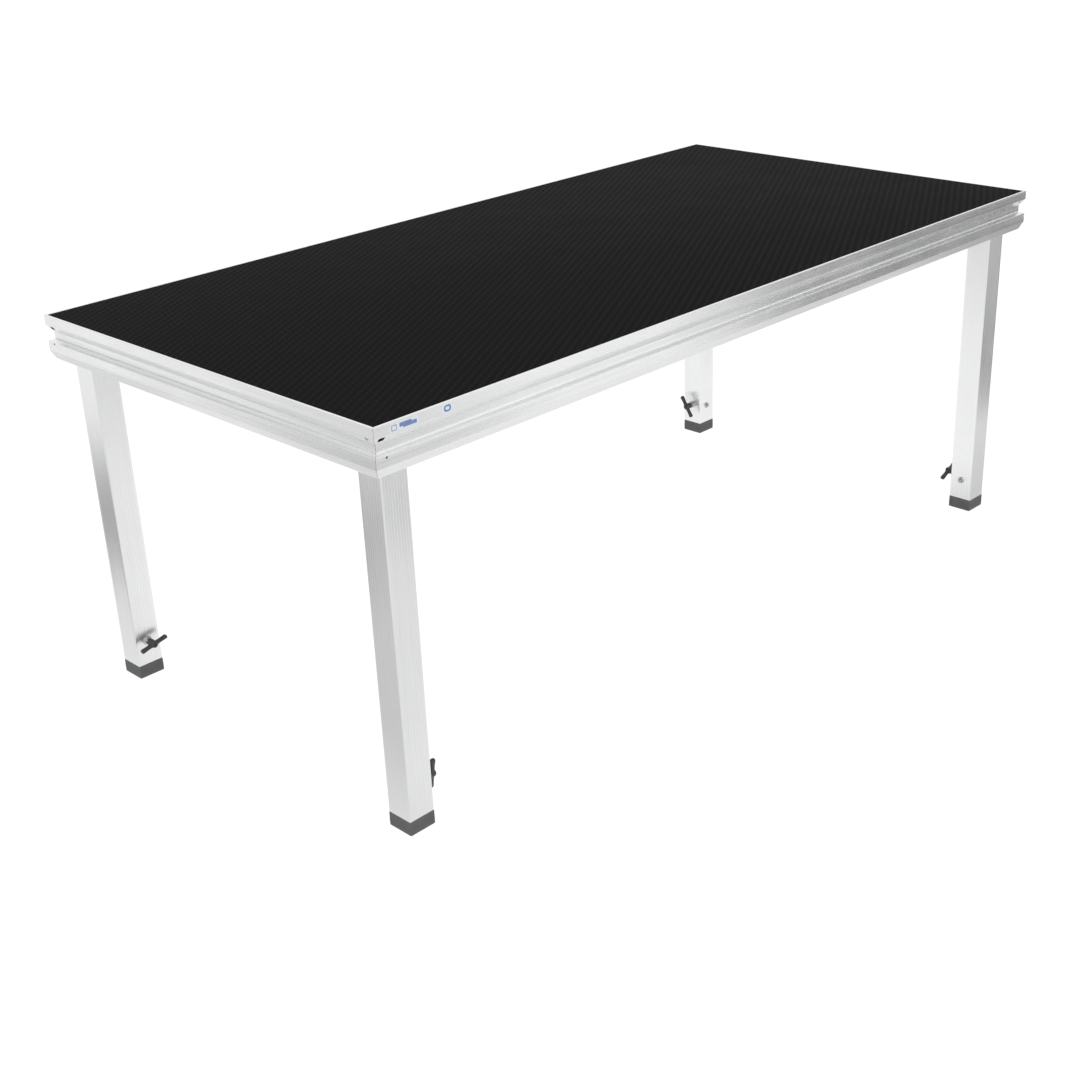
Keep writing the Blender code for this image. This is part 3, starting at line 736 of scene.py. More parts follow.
class Shell:
    """A mesh put together ring by ring, mapped in metres along and round it."""

    def __init__(self) -> None:
        """Starts an empty shell."""
        self.mesh = bmesh.new()
        self.map = self.mesh.loops.layers.uv.new("UVMap")

    def ring(self, points: Iterable[Sequence[float]]) -> list[bmesh.types.BMVert]:
        """Adds one ring of corners."""
        return [self.mesh.verts.new(point) for point in points]

    def face(self, corners: Sequence[bmesh.types.BMVert], places: Sequence[Point2], finish: int = 0) -> None:
        """Adds one face.

        Args:
            corners: its corners.
            places: where each is on the map.
            finish: the number of its finish.
        """
        made = self.mesh.faces.new(corners)
        made.material_index = finish
        for loop, place in zip(made.loops, places):
            loop[self.map].uv = place

    def strip(
        self, first: list, second: list, along: Point2, around: Sequence[float], finish: int = 0
    ) -> None:
        """Joins two closed rings of as many corners.

        Args:
            first: one ring.
            second: the next.
            along: how far along each of them is.
            around: how far round each corner is, and the first again.
            finish: the number of the finish.
        """
        count = len(first)
        for index in range(count):
            after = (index + 1) % count
            corners = (first[index], first[after], second[after], second[index])
            low, high = around[index], around[index + 1]
            places = ((along[0], low), (along[0], high), (along[1], high), (along[1], low))
            self.face(corners, places, finish)

    def lid(self, loops: Sequence[list], finish: int = 0) -> None:
        """Fills a flat outline, with holes where it has further loops.

        Args:
            loops: the outline's ring and each hole's.
            finish: the number of the finish.
        """
        flat = [corner for loop in loops for corner in loop]
        for triple in tessellate_polygon([[corner.co for corner in loop] for loop in loops]):
            corners = [flat[index] for index in triple]
            self.face(corners, [(corner.co.x, corner.co.y) for corner in corners], finish)

    def prism(
        self, loops: Sequence[Sequence[Point2]], ends: Callable[[float, int], float], finish: int = 0
    ) -> None:
        """Runs outlines along Z, the first solid and the rest hollow.

        Args:
            loops: the outlines.
            ends: gives a point's place along Z from its across and the end, -1 or 1.
            finish: the number of the finish.
        """
        sets = []
        for loop in loops:
            rings = [self.ring((across, up, ends(across, end)) for across, up in loop) for end in (-1, 1)]
            self.strip(rings[0], rings[1], (ends(0, -1), ends(0, 1)), Outline.run(loop), finish)
            sets.append(rings)
        for end in (0, 1):
            self.lid([rings[end] for rings in sets], finish)

    def turned(self, section: Sequence[Point2], steps: int = 48, finish: int = 0) -> None:
        """Turns a half section round Z, closed where it starts and ends on the axis.

        Args:
            section: its radius and height, point by point.
            steps: facets round.
            finish: the number of the finish.
        """
        self.loft([[(radius, 0.0, height)] if radius == 0 else self.circle(radius, height, steps)
                   for radius, height in section], finish)

    @staticmethod
    def circle(radius: float, height: float, steps: int) -> list[tuple[float, float, float]]:
        """Gives a level ring of points."""
        turns = (2 * math.pi * step / steps for step in range(steps))
        return [(radius * math.cos(turn), radius * math.sin(turn), height) for turn in turns]

    def loft(self, rings: Sequence[Sequence[Sequence[float]]], finish: int = 0) -> None:
        """Skins a run of rings, any of them a single point.

        Args:
            rings: the points of each, as many in every full ring.
            finish: the number of the finish.
        """
        made = [self.ring(ring) for ring in rings]
        along = 0.0
        for first, second in zip(made, made[1:]):
            step = along + (first[0].co - second[0].co).length
            if len(first) == 1 or len(second) == 1:
                tip, ring = (first[0], second) if len(first) == 1 else (second[0], first)
                around = Outline.run([corner.co for corner in ring])
                for index, corner in enumerate(ring):
                    corners = (corner, ring[(index + 1) % len(ring)], tip)
                    places = ((step, around[index]), (step, around[index + 1]), (along, around[index]))
                    self.face(corners, places, finish)
            else:
                around = Outline.run([corner.co for corner in second])
                self.strip(first, second, (along, step), around, finish)
            along = step

    def done(self, name: str, materials: Sequence[bpy.types.Material], place: Matrix,
             sharp: float = 32.0) -> bpy.types.Object:
        """Turns the shell into a smooth shaded piece in its place.

        Args:
            name: the piece's name.
            materials: its finishes, in number order.
            place: where it goes.
            sharp: the least angle of an edge that stays sharp, in degrees.

        Returns:
            The new piece.
        """
        bmesh.ops.recalc_face_normals(self.mesh, faces=self.mesh.faces)
        mesh = bpy.data.meshes.new(name)
        self.mesh.to_mesh(mesh)
        self.mesh.free()
        mesh.transform(place)
        for material in materials:
            mesh.materials.append(material)
        piece = bpy.data.objects.new(name, mesh)
        bpy.context.scene.collection.objects.link(piece)
        Workshop.smooth(piece, sharp)
        return piece


class Workshop:
    """What is done to a piece once its mesh is made."""

    @staticmethod
    def smooth(piece: bpy.types.Object, sharp: float) -> None:
        """Shades a piece smooth between its sharp edges.

        Args:
            piece: the piece.
            sharp: the least angle of an edge that stays sharp, in degrees.
        """
        piece.data.shade_smooth()
        piece.data.set_sharp_from_angle(angle=math.radians(sharp))

    @staticmethod
    def settle(piece: bpy.types.Object) -> bpy.types.Object:
        """Makes a piece's modifiers part of its mesh.

        Args:
            piece: the piece.

        Returns:
            The same piece.
        """
        graph = bpy.context.evaluated_depsgraph_get()
        settled = bpy.data.meshes.new_from_object(piece.evaluated_get(graph))
        piece.modifiers.clear()
        piece.data = settled
        return piece

    @staticmethod
    def carve(piece: bpy.types.Object, cutters: Sequence[bpy.types.Object]) -> bpy.types.Object:
        """Cuts holes in a piece, and throws the cutters away.

        Args:
            piece: the piece.
            cutters: the shapes to cut out.

        Returns:
            The same piece.
        """
        for cutter in cutters:
            boolean = piece.modifiers.new(cutter.name, "BOOLEAN")
            boolean.operation = "DIFFERENCE"
            boolean.solver = "EXACT"
            boolean.object = cutter
        Workshop.settle(piece)
        for cutter in cutters:
            bpy.data.objects.remove(cutter)
        return piece

    @staticmethod
    def flatten_shading(piece: bpy.types.Object) -> None:
        """Keeps broad faces flat beside their rounded edges.

        Args:
            piece: the piece.
        """
        weighted = piece.modifiers.new("flat_faces", "WEIGHTED_NORMAL")
        weighted.keep_sharp = True
        weighted.weight = 100

    @staticmethod
    def fit(piece: bpy.types.Object, body: str, slot: str, *nodes: str) -> bpy.types.Object:
        """Puts a piece on its body, in place of the frame's plain nodes.

        Args:
            piece: the piece.
            body: the body it rides on.
            slot: the record's slot of its finish; not used.
            nodes: the nodes it stands for.

        Returns:
            The same piece.
        """
        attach(piece, body)
        if nodes:
            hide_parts(*nodes)
        return piece

    @staticmethod
    def dress(node: str, material: bpy.types.Material) -> None:
        """Gives one of the frame's own nodes its finish.

        Args:
            node: the node's name.
            material: its finish.
        """
        item = frame["nodes"][node]
        item.data.materials.clear()
        item.data.materials.append(material)

    @staticmethod
    def rod(radius: float, bottom: float, top: float, place: Matrix, steps: int = 32) -> bpy.types.Object:
        """Makes a plain round cutter.

        Args:
            radius: its radius.
            bottom: where it starts along its axis.
            top: where it ends.
            place: where its axis is.
            steps: facets round.

        Returns:
            The cutter.
        """
        shell = Shell()
        shell.turned([(0, bottom), (radius, bottom), (radius, top), (0, top)], steps)
        return shell.done("cutter", [], place)


@dataclass(frozen=True)
class ThreadedShank:
    """A threaded rod along Z.

    Attributes:
        radius: to the thread's crest.
        pitch: crest to crest.
        bottom: where it starts.
        top: where it ends.
        steps: facets round.
    """

    radius: float
    pitch: float
    bottom: float
    top: float
    steps: int = 24

    def add_to(self, shell: Shell, finish: int = 0) -> None:
        """Adds the thread to a shell.

        Args:
            shell: the shell.
            finish: the number of the finish.
        """
        depth = 0.54 * self.pitch
        rows = max(2, round((self.top - self.bottom) / self.pitch * 6))
        rings: list[list[tuple[float, float, float]]] = [[(0.0, 0.0, self.bottom)]]
        for row in range(rows + 1):
            height = self.bottom + (self.top - self.bottom) * row / rows
            ring = []
            for step in range(self.steps):
                turn = step / self.steps
                phase = (height / self.pitch - turn) % 1.0
                radius = self.radius - depth * min(1.0, 2.6 * abs(phase - 0.5) * 0.77)
                angle = 2 * math.pi * turn
                ring.append((radius * math.cos(angle), radius * math.sin(angle), height))
            rings.append(ring)
        rings.append([(0.0, 0.0, self.top)])
        shell.loft(rings, finish)


@dataclass(frozen=True)
class HexHead:
    """A hexagon head along Z with its corners chamfered.

    Attributes:
        flats: across its flats.
        bottom: its washer face.
        top: its crown.
    """

    flats: float
    bottom: float
    top: float

    def add_to(self, shell: Shell, finish: int = 0) -> None:
        """Adds the head to a shell.

        Args:
            shell: the shell.
            finish: the number of the finish.
        """
        apothem = self.flats / 2
        reach = apothem / math.cos(math.radians(30))
        levels = (
            (apothem * 0.93, self.bottom), (apothem * 0.95, self.bottom + 0.0004),
            (reach, self.bottom + 0.0006), (reach, self.top - 0.0016),
            ((reach + apothem) / 2, self.top - 0.0006), (apothem * 0.95, self.top),
        )
        rings: list = [[(0.0, 0.0, self.bottom)]]
        for limit, height in levels:
            ring = []
            for step in range(48):
                angle = 2 * math.pi * step / 48
                side = (angle % math.radians(60)) - math.radians(30)
                radius = min(limit, apothem / math.cos(side))
                ring.append((radius * math.cos(angle), radius * math.sin(angle), height))
            rings.append(ring)
        rings.append([(0.0, 0.0, self.top - 0.0002)])
        shell.loft(rings, finish)


@dataclass(frozen=True)
class WeldBead:
    """A rippled weld along a straight seam.

    Attributes:
        start: where it starts.
        end: where it ends.
        radius: half its width.
        ripple: ripple to ripple.
    """

    start: tuple[float, float, float]
    end: tuple[float, float, float]
    radius: float = 0.0024
    ripple: float = 0.0032

    def add_to(self, shell: Shell, finish: int = 0) -> None:
        """Adds the bead to a shell.

        Args:
            shell: the shell.
            finish: the number of the finish.
        """
        start, end = Vector(self.start), Vector(self.end)
        way = (end - start).normalized()
        side = way.orthogonal().normalized()
        other = way.cross(side)
        rows = max(6, round((end - start).length / self.ripple * 4))
        rings: list = [[tuple(start)]]
        for row in range(1, rows):
            share = row / rows
            wave = abs(math.sin(math.pi * share * rows / 4))
            swell = min(1.0, 4 * math.sin(math.pi * share) + 0.2)
            radius = self.radius * swell * (0.84 + 0.16 * wave)
            middle = start.lerp(end, share)
            ring = []
            for step in range(10):
                angle = 2 * math.pi * step / 10
                ring.append(tuple(middle + (side * math.cos(angle) + other * math.sin(angle)) * radius))
            rings.append(ring)
        rings.append([tuple(end)])
        shell.loft(rings, finish)


# --------------------------------------------------------------- deck frame ----


@dataclass
class DeckFrame:
    """The four grooved rails, mitred at the corners, with their corner fixings.

    Heights and depths are down and in from the rail's top outer edge.

    Attributes:
        finishes: the platform's finishes.
        lip_width: the metal edge round the board.
        lip_face: the upright face under the top edge.
        groove_top: where the slope into the groove ends.
        groove_bottom: where the groove's upright back ends.
        groove_inset: how far in that back is.
        band_top: where the lower band starts.
        band_bottom: where it ends.
        height: the rail's height.
        chamfer_inset: how far in the chamfer under the band runs.
        body: thickness of the hollow part.
        wall: thickness of its walls.
        seat: depth of the board's seat.
        label_relief: how far in the lip's face lies, to leave room for the labels.
        end_break: the broken edge round the cuts and ends.
        screw_bore: radius of the hole in the band.
        slope_bore: radius of the hole in the slope.
        screw_sink: how deep in its hole a screw sits.
    """

    finishes: FinishBook
    lip_width: float = 0.005
    lip_face: float = 0.019
    groove_top: float = 0.034
    groove_bottom: float = 0.050
    groove_inset: float = 0.0105
    band_top: float = 0.053
    band_bottom: float = 0.072
    height: float = 0.090
    chamfer_inset: float = 0.008
    body: float = 0.028
    wall: float = 0.0025
    seat: float = 0.0123
    label_relief: float = 0.00015
    end_break: float = 0.0004
    screw_bore: float = 0.0024
    slope_bore: float = 0.0036
    screw_sink: float = 0.0014

    def outlines(self) -> list[list[Point2]]:
        """Draws the rail's section, inset across and height up.

        Returns:
            Its outline and its hollow.
        """
        outside = [
            (self.label_relief, 0, 0.0009), (self.label_relief, -self.lip_face, 0.0007),
            (self.groove_inset, -self.groove_top, 0.0016), (self.groove_inset, -self.groove_bottom, 0.0012),
            (0, -self.band_top, 0.0008), (0, -self.band_bottom, 0.0009),
            (self.chamfer_inset, -self.height, 0.0014), (self.body, -self.height, 0.0008),
            (self.body, -self.seat, 0.0004), (self.lip_width, -self.seat, 0.0004),
            (self.lip_width, 0, 0.0004),
        ]
        wall, slope = self.wall, self.wall * 1.25
        inside = [
            (wall, -self.seat - wall, 0.0006), (wall, -self.lip_face + 0.0008, 0.0006),
            (self.groove_inset + wall, -self.groove_top + 0.0008, 0.0008),
            (self.groove_inset + wall, -self.groove_bottom - slope + 0.0008, 0.0008),
            (wall, -self.band_top - wall, 0.0006), (wall, -self.band_bottom + 0.0005, 0.0006),
            (self.chamfer_inset + wall - 0.0007, -self.height + wall, 0.0008),
            (self.body - wall, -self.height + wall, 0.0008), (self.body - wall, -self.seat - wall, 0.0008),
        ]
        return [Outline.rounded(outside), Outline.rounded(inside)]

    def cutters(self, half: float) -> list[bpy.types.Object]:
        """Makes what is cut from a rail: a key slot, two screw holes and the gaps in its mitres.

        Args:
            half: half the rail's length.

        Returns:
            The cutters, in the section's own axes.
        """
        lean = math.atan2(self.groove_inset, self.groove_top - self.lip_face)
        swing = Matrix(((0, 0, -1, 0), (0, 1, 0, 0), (1, 0, 0, 0), (0, 0, 0, 1)))
        slot = Shell()
        outline = Outline.rounded([(a * 0.0068, b * 0.0040, 0.0016) for a, b in SQUARE])
        slot.prism([outline], lambda across, end: end * 0.004)
        slope = Matrix.Translation((0.0043, -0.0252, -half + 0.0185)) @ Matrix.Rotation(lean, 4, "Z")
        cutters = [slot.done("cutter", [], slope @ swing)]
        for end in (-1, 1):
            notch = Shell()
            outline = Outline.rounded([(a * 0.0016, b * 0.0036, 0.0008) for a, b in SQUARE])
            notch.prism([outline], lambda across, side: side * 0.003)
            place = Matrix.Translation((0, -self.band_top - 0.0062, end * half))
            cutters.append(notch.done("cutter", [], place @ swing))
        for bore, place in self.holes(half):
            cutters.append(Workshop.rod(bore, -0.002, 0.0045, place))
        return cutters

    def holes(self, half: float) -> list[tuple[float, Matrix]]:
        """Gives the radius and place of both screw holes."""
        return [(self.screw_bore, self.band_hole(half)), (self.slope_bore, self.slope_hole(half))]

    def band_hole(self, half: float) -> Matrix:
        """Where the screw hole in the lower band is, its axis inward."""
        return Matrix.Translation((0, -self.band_top - 0.0027, -half + 0.0235)) @ ALONG_X

    def slope_hole(self, half: float) -> Matrix:
        """Where the screw hole in the groove's slope is, its axis inward.

        Args:
            half: half the rail's length.

        Returns:
            The hole's place, in the section's own axes.
        """
        lean = math.atan2(self.groove_inset, self.groove_top - self.lip_face)
        face = Matrix.Translation((0.0033, -0.0236, half - 0.0215))
        return face @ Matrix.Rotation(lean, 4, "Z") @ ALONG_X

    def build_rail(self, side: Side) -> bpy.types.Object:
        """Makes one rail.

        Args:
            side: the side it runs along.

        Returns:
            The rail.
        """
        half = side.length() / 2
        shell = Shell()
        shell.prism(self.outlines(), lambda across, end: end * (half - across - GAP))
        rail = shell.done("frame_rail_" + side.label, [self.finishes.rail], Matrix.Identity(4))
        Workshop.carve(rail, self.cutters(half))
        bevel = rail.modifiers.new("broken_edges", "BEVEL")
        bevel.width = self.end_break
        bevel.segments = 2
        bevel.limit_method = "ANGLE"
        bevel.angle_limit = math.radians(40)
        bevel.use_clamp_overlap = True
        Workshop.settle(rail)
        rail.data.transform(side.place())
        Workshop.smooth(rail, 32)
        Workshop.flatten_shading(rail)
        return Workshop.fit(rail, "deck", "rail_aluminium", "rail_" + side.label)

    def build_fixings(self, side: Side) -> bpy.types.Object:
        """Makes the two grub screws in a rail's ends.

        Args:
            side: the side they are in.

        Returns:
            Both screws as one piece.
        """
        half = side.length() / 2
        shell = Shell()
        rings = []
        for bore, place in self.holes(half):
            made = Shell()
            low, rim = self.screw_sink, bore - 0.0002
            made.turned([
                (0, low + 0.0014), (0.4 * rim, low + 0.0014), (0.45 * rim, low + 0.0002),
                (0.78 * rim, low), (rim, low + 0.0004), (rim, low + 0.0030), (0, low + 0.0030),
            ], 24)
            made.mesh.transform(place)
            rings.append(made)
        for made in rings:
            copy = bpy.data.meshes.new("grub")
            made.mesh.to_mesh(copy)
            made.mesh.free()
            shell.mesh.from_mesh(copy)
            bpy.data.meshes.remove(copy)
        piece = shell.done("corner_screws_" + side.label, [self.finishes.dark_steel], side.place())
        return Workshop.fit(piece, "deck", "zinc_steel")

    def build(self) -> list[bpy.types.Object]:
        """Makes all four rails and their fixings."""
        return [make(side) for side in Side for make in (self.build_rail, self.build_fixings)]


@dataclass
class DeckBoard:
    """The plywood board with its anti-slip film, in the rails' seats.

    Attributes:
        finishes: the platform's finishes.
        edge: radius of its top edge.
    """

    finishes: FinishBook
    edge: float = 0.0005

    def build(self) -> list[bpy.types.Object]:
        """Makes the board.

        Returns:
            The board, as a list of one.
        """
        low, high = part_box("deck_panel")
        shell = Shell()
        half = (high - low) / 2
        rings = []
        for inset, level in ((self.edge, low.z), (0, low.z + self.edge), (0, high.z - self.edge),
                             (self.edge * 0.3, high.z - self.edge * 0.3), (self.edge, high.z)):
            rings.append(shell.ring((a * (half.x - inset), b * (half.y - inset), level) for a, b in SQUARE))
        for number, (first, second) in enumerate(zip(rings, rings[1:])):
            around = Outline.run([corner.co for corner in second])
            shell.strip(first, second, (0.0, 0.01), around, 2 if number < 2 else 0)
        shell.lid([rings[0]], 1)
        shell.lid([rings[-1]], 0)
        materials = [self.finishes.film, self.finishes.underside, self.finishes.plies]
        board = shell.done("deck_board", materials, Matrix.Identity(4))
        return [Workshop.fit(board, "deck", "phenolic_board", "deck_panel")]


@dataclass
class Crossbeams:
    """The box beams under the board, welded between the long rails.

    Attributes:
        finishes: the platform's finishes.
        count: how many beams there are.
        wall: thickness of a beam's wall.
        corner: radius of a beam's edges.
    """

    finishes: FinishBook
    count: int = 3
    wall: float = 0.003
    corner: float = 0.0022

    def build_beam(self, number: int) -> list[bpy.types.Object]:
        """Makes one beam and the welds at its ends.

        Args:
            number: which beam, from 1.

        Returns:
            The beam and its welds.
        """
        node = "crossbeam_%d" % number
        low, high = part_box(node)
        middle, half = (low + high) / 2, (high - low) / 2
        across, up = half.x - self.wall, half.z - self.wall
        outer = Outline.rounded([(a * half.x, b * half.z, self.corner) for a, b in SQUARE])
        inner = Outline.rounded([(a * across, b * up, 0.001) for a, b in SQUARE])
        shell = Shell()
        shell.prism([outer, inner], lambda across, end: end * half.y)
        place = Matrix.Translation(middle) @ Matrix.Rotation(math.radians(90), 4, "X")
        beam = shell.done("box_beam_%d" % number, [self.finishes.beam], place)
        Workshop.flatten_shading(beam)
        welds = Shell()
        for end in (-1, 1):
            seam = middle.y + end * half.y
            for side in (-1, 1):
                edge = middle.x + side * half.x
                WeldBead((edge, seam, low.z + 0.003), (edge, seam, high.z - 0.006)).add_to(welds)
            WeldBead((low.x + 0.002, seam, low.z), (high.x - 0.002, seam, low.z)).add_to(welds)
        bead = welds.done("beam_welds_%d" % number, [self.finishes.weld], Matrix.Identity(4), 60)
        return [
            Workshop.fit(beam, "deck", "beam_aluminium", node),
            Workshop.fit(bead, "deck", "cast_aluminium"),
        ]

    def build(self) -> list[bpy.types.Object]:
        """Makes every beam."""
        return [piece for number in range(1, self.count + 1) for piece in self.build_beam(number)]


@dataclass(frozen=True)
class Mark:
    """One printed patch of a label.

    Attributes:
        along: where it starts and ends along the rail, from the left corner.
        down: where it starts and ends down the rail's face.
        finish: the number of its finish.
        radius: radius of its corners.
    """

    along: Point2
    down: Point2
    finish: int
    radius: float = 0.001


@dataclass
class Labels:
    """The two small textless labels on the front rail's lip.

    Attributes:
        finishes: the platform's finishes.
        seat: how far in the rail's face lies under them.
        thickness: of the whole label.
        marks: their patches, each a little further out than the one before.
    """

    finishes: FinishBook
    seat: float = 0.00015
    thickness: float = 0.00013
    marks: tuple[tuple[Mark, ...], ...] = (
        (
            Mark((0.0345, 0.0945), (0.0045, 0.0178), 0, 0.0018),
            Mark((0.0370, 0.0492), (0.0062, 0.0166), 2, 0.0018),
            Mark((0.0391, 0.0471), (0.0084, 0.0146), 0, 0.0012),
            Mark((0.0545, 0.0800), (0.0064, 0.0134), 1, 0.0009),
            Mark((0.0615, 0.0912), (0.0092, 0.0158), 1, 0.0009),
        ),
        (
            Mark((0.1460, 0.1700), (0.0036, 0.0180), 0, 0.0060),
            Mark((0.1500, 0.1660), (0.0050, 0.0168), 1, 0.0054),
            Mark((0.1538, 0.1624), (0.0082, 0.0136), 0, 0.0026),
        ),
    )

    def build(self) -> list[bpy.types.Object]:
        """Makes both labels.

        Returns:
            The labels.
        """
        pieces = []
        half = Side.FRONT.length() / 2
        materials = [self.finishes.label_ground, self.finishes.label_blue, self.finishes.label_grey]
        for number, marks in enumerate(self.marks, 1):
            shell = Shell()
            for layer, mark in enumerate(marks, 1):
                corners = [(mark.along[1], -mark.down[0]), (mark.along[0], -mark.down[0]),
                           (mark.along[0], -mark.down[1]), (mark.along[1], -mark.down[1])]
                outline = Outline.rounded([(a - half, b, mark.radius) for a, b in corners], 6)
                out = self.seat - self.thickness * (0.3 + 0.7 * layer / len(marks))
                back = shell.ring((self.seat, up, along) for along, up in outline)
                front = shell.ring((out, up, along) for along, up in outline)
                shell.strip(back, front, (0, 0.001), Outline.run(outline), mark.finish)
                middle = shell.ring([(out, sum(p[1] for p in outline) / len(outline),
                                      sum(p[0] for p in outline) / len(outline))])[0]
                for first, second in zip(front, front[1:] + front[:1]):
                    wedge = (first, second, middle)
                    shell.face(wedge, [(point.co.z, point.co.y) for point in wedge], mark.finish)
            label = shell.done("label_%d" % number, materials, Side.FRONT.place())
            pieces.append(Workshop.fit(label, "deck", "phenolic_board"))
        return pieces


# ------------------------------------------------------------------ corners ----


@dataclass
class CornerSocket:
    """A corner casting with its clamp jaw, hexagon screw and welds.

    Attributes:
        corner: the corner it stands in.
        finishes: the platform's finishes.
    """

    corner: Corner
    finishes: FinishBook

    def build(self) -> list[bpy.types.Object]:
        """Dresses the casting and jaw, and makes the screw and welds.

        Returns:
            The new pieces.
        """
        name = self.corner.label
        Workshop.dress("socket_" + name, self.finishes.cast)
        Workshop.dress("socket_jaw_" + name, self.finishes.zinc)
        return [self.build_screw(name), self.build_welds(name)]

    def build_screw(self, name: str) -> bpy.types.Object:
        """Makes the clamp screw.

        Args:
            name: the corner's words.

        Returns:
            The screw.
        """
        low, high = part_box("socket_screw_" + name)
        place = self.corner.place()
        local = [place.inverted() @ Vector(corner) for corner in (low, high)]
        tip, crown = sorted(corner.y for corner in local)
        level = (low.z + high.z) / 2
        shell = Shell()
        head = crown - 0.0075
        ThreadedShank(0.00595, 0.00175, tip, head + 0.001).add_to(shell)
        HexHead(0.0178, head, crown).add_to(shell)
        axis = place @ Matrix.Translation((0, 0, level)) @ ALONG_Y
        screw = shell.done("clamp_screw_" + name, [self.finishes.zinc], axis, 28)
        return Workshop.fit(screw, "screw_" + name, "zinc_steel", "socket_screw_" + name)

    def build_welds(self, name: str) -> bpy.types.Object:
        """Makes the welds between the casting's lower edge and the rails.

        Args:
            name: the corner's words.

        Returns:
            Both welds as one piece.
        """
        low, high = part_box("socket_" + name)
        inverse = self.corner.place().inverted()
        local = [inverse @ Vector(corner) for corner in (low, high)]
        outer = min(corner.x for corner in local), min(corner.y for corner in local)
        inner = max(corner.x for corner in local), max(corner.y for corner in local)
        shell = Shell()
        level = low.z + 0.0004
        WeldBead((outer[0], outer[1] + 0.003, level), (outer[0], inner[1] - 0.004, level)).add_to(shell)
        WeldBead((outer[0] + 0.003, outer[1], level), (inner[0] - 0.004, outer[1], level)).add_to(shell)
        for across, up in ((outer[0], inner[1]), (inner[0], outer[1])):
            WeldBead((across, up, low.z + 0.004), (across, up, high.z - 0.004)).add_to(shell)
        welds = shell.done("socket_welds_" + name, [self.finishes.weld], self.corner.place(), 60)
        return Workshop.fit(welds, "deck", "cast_aluminium")


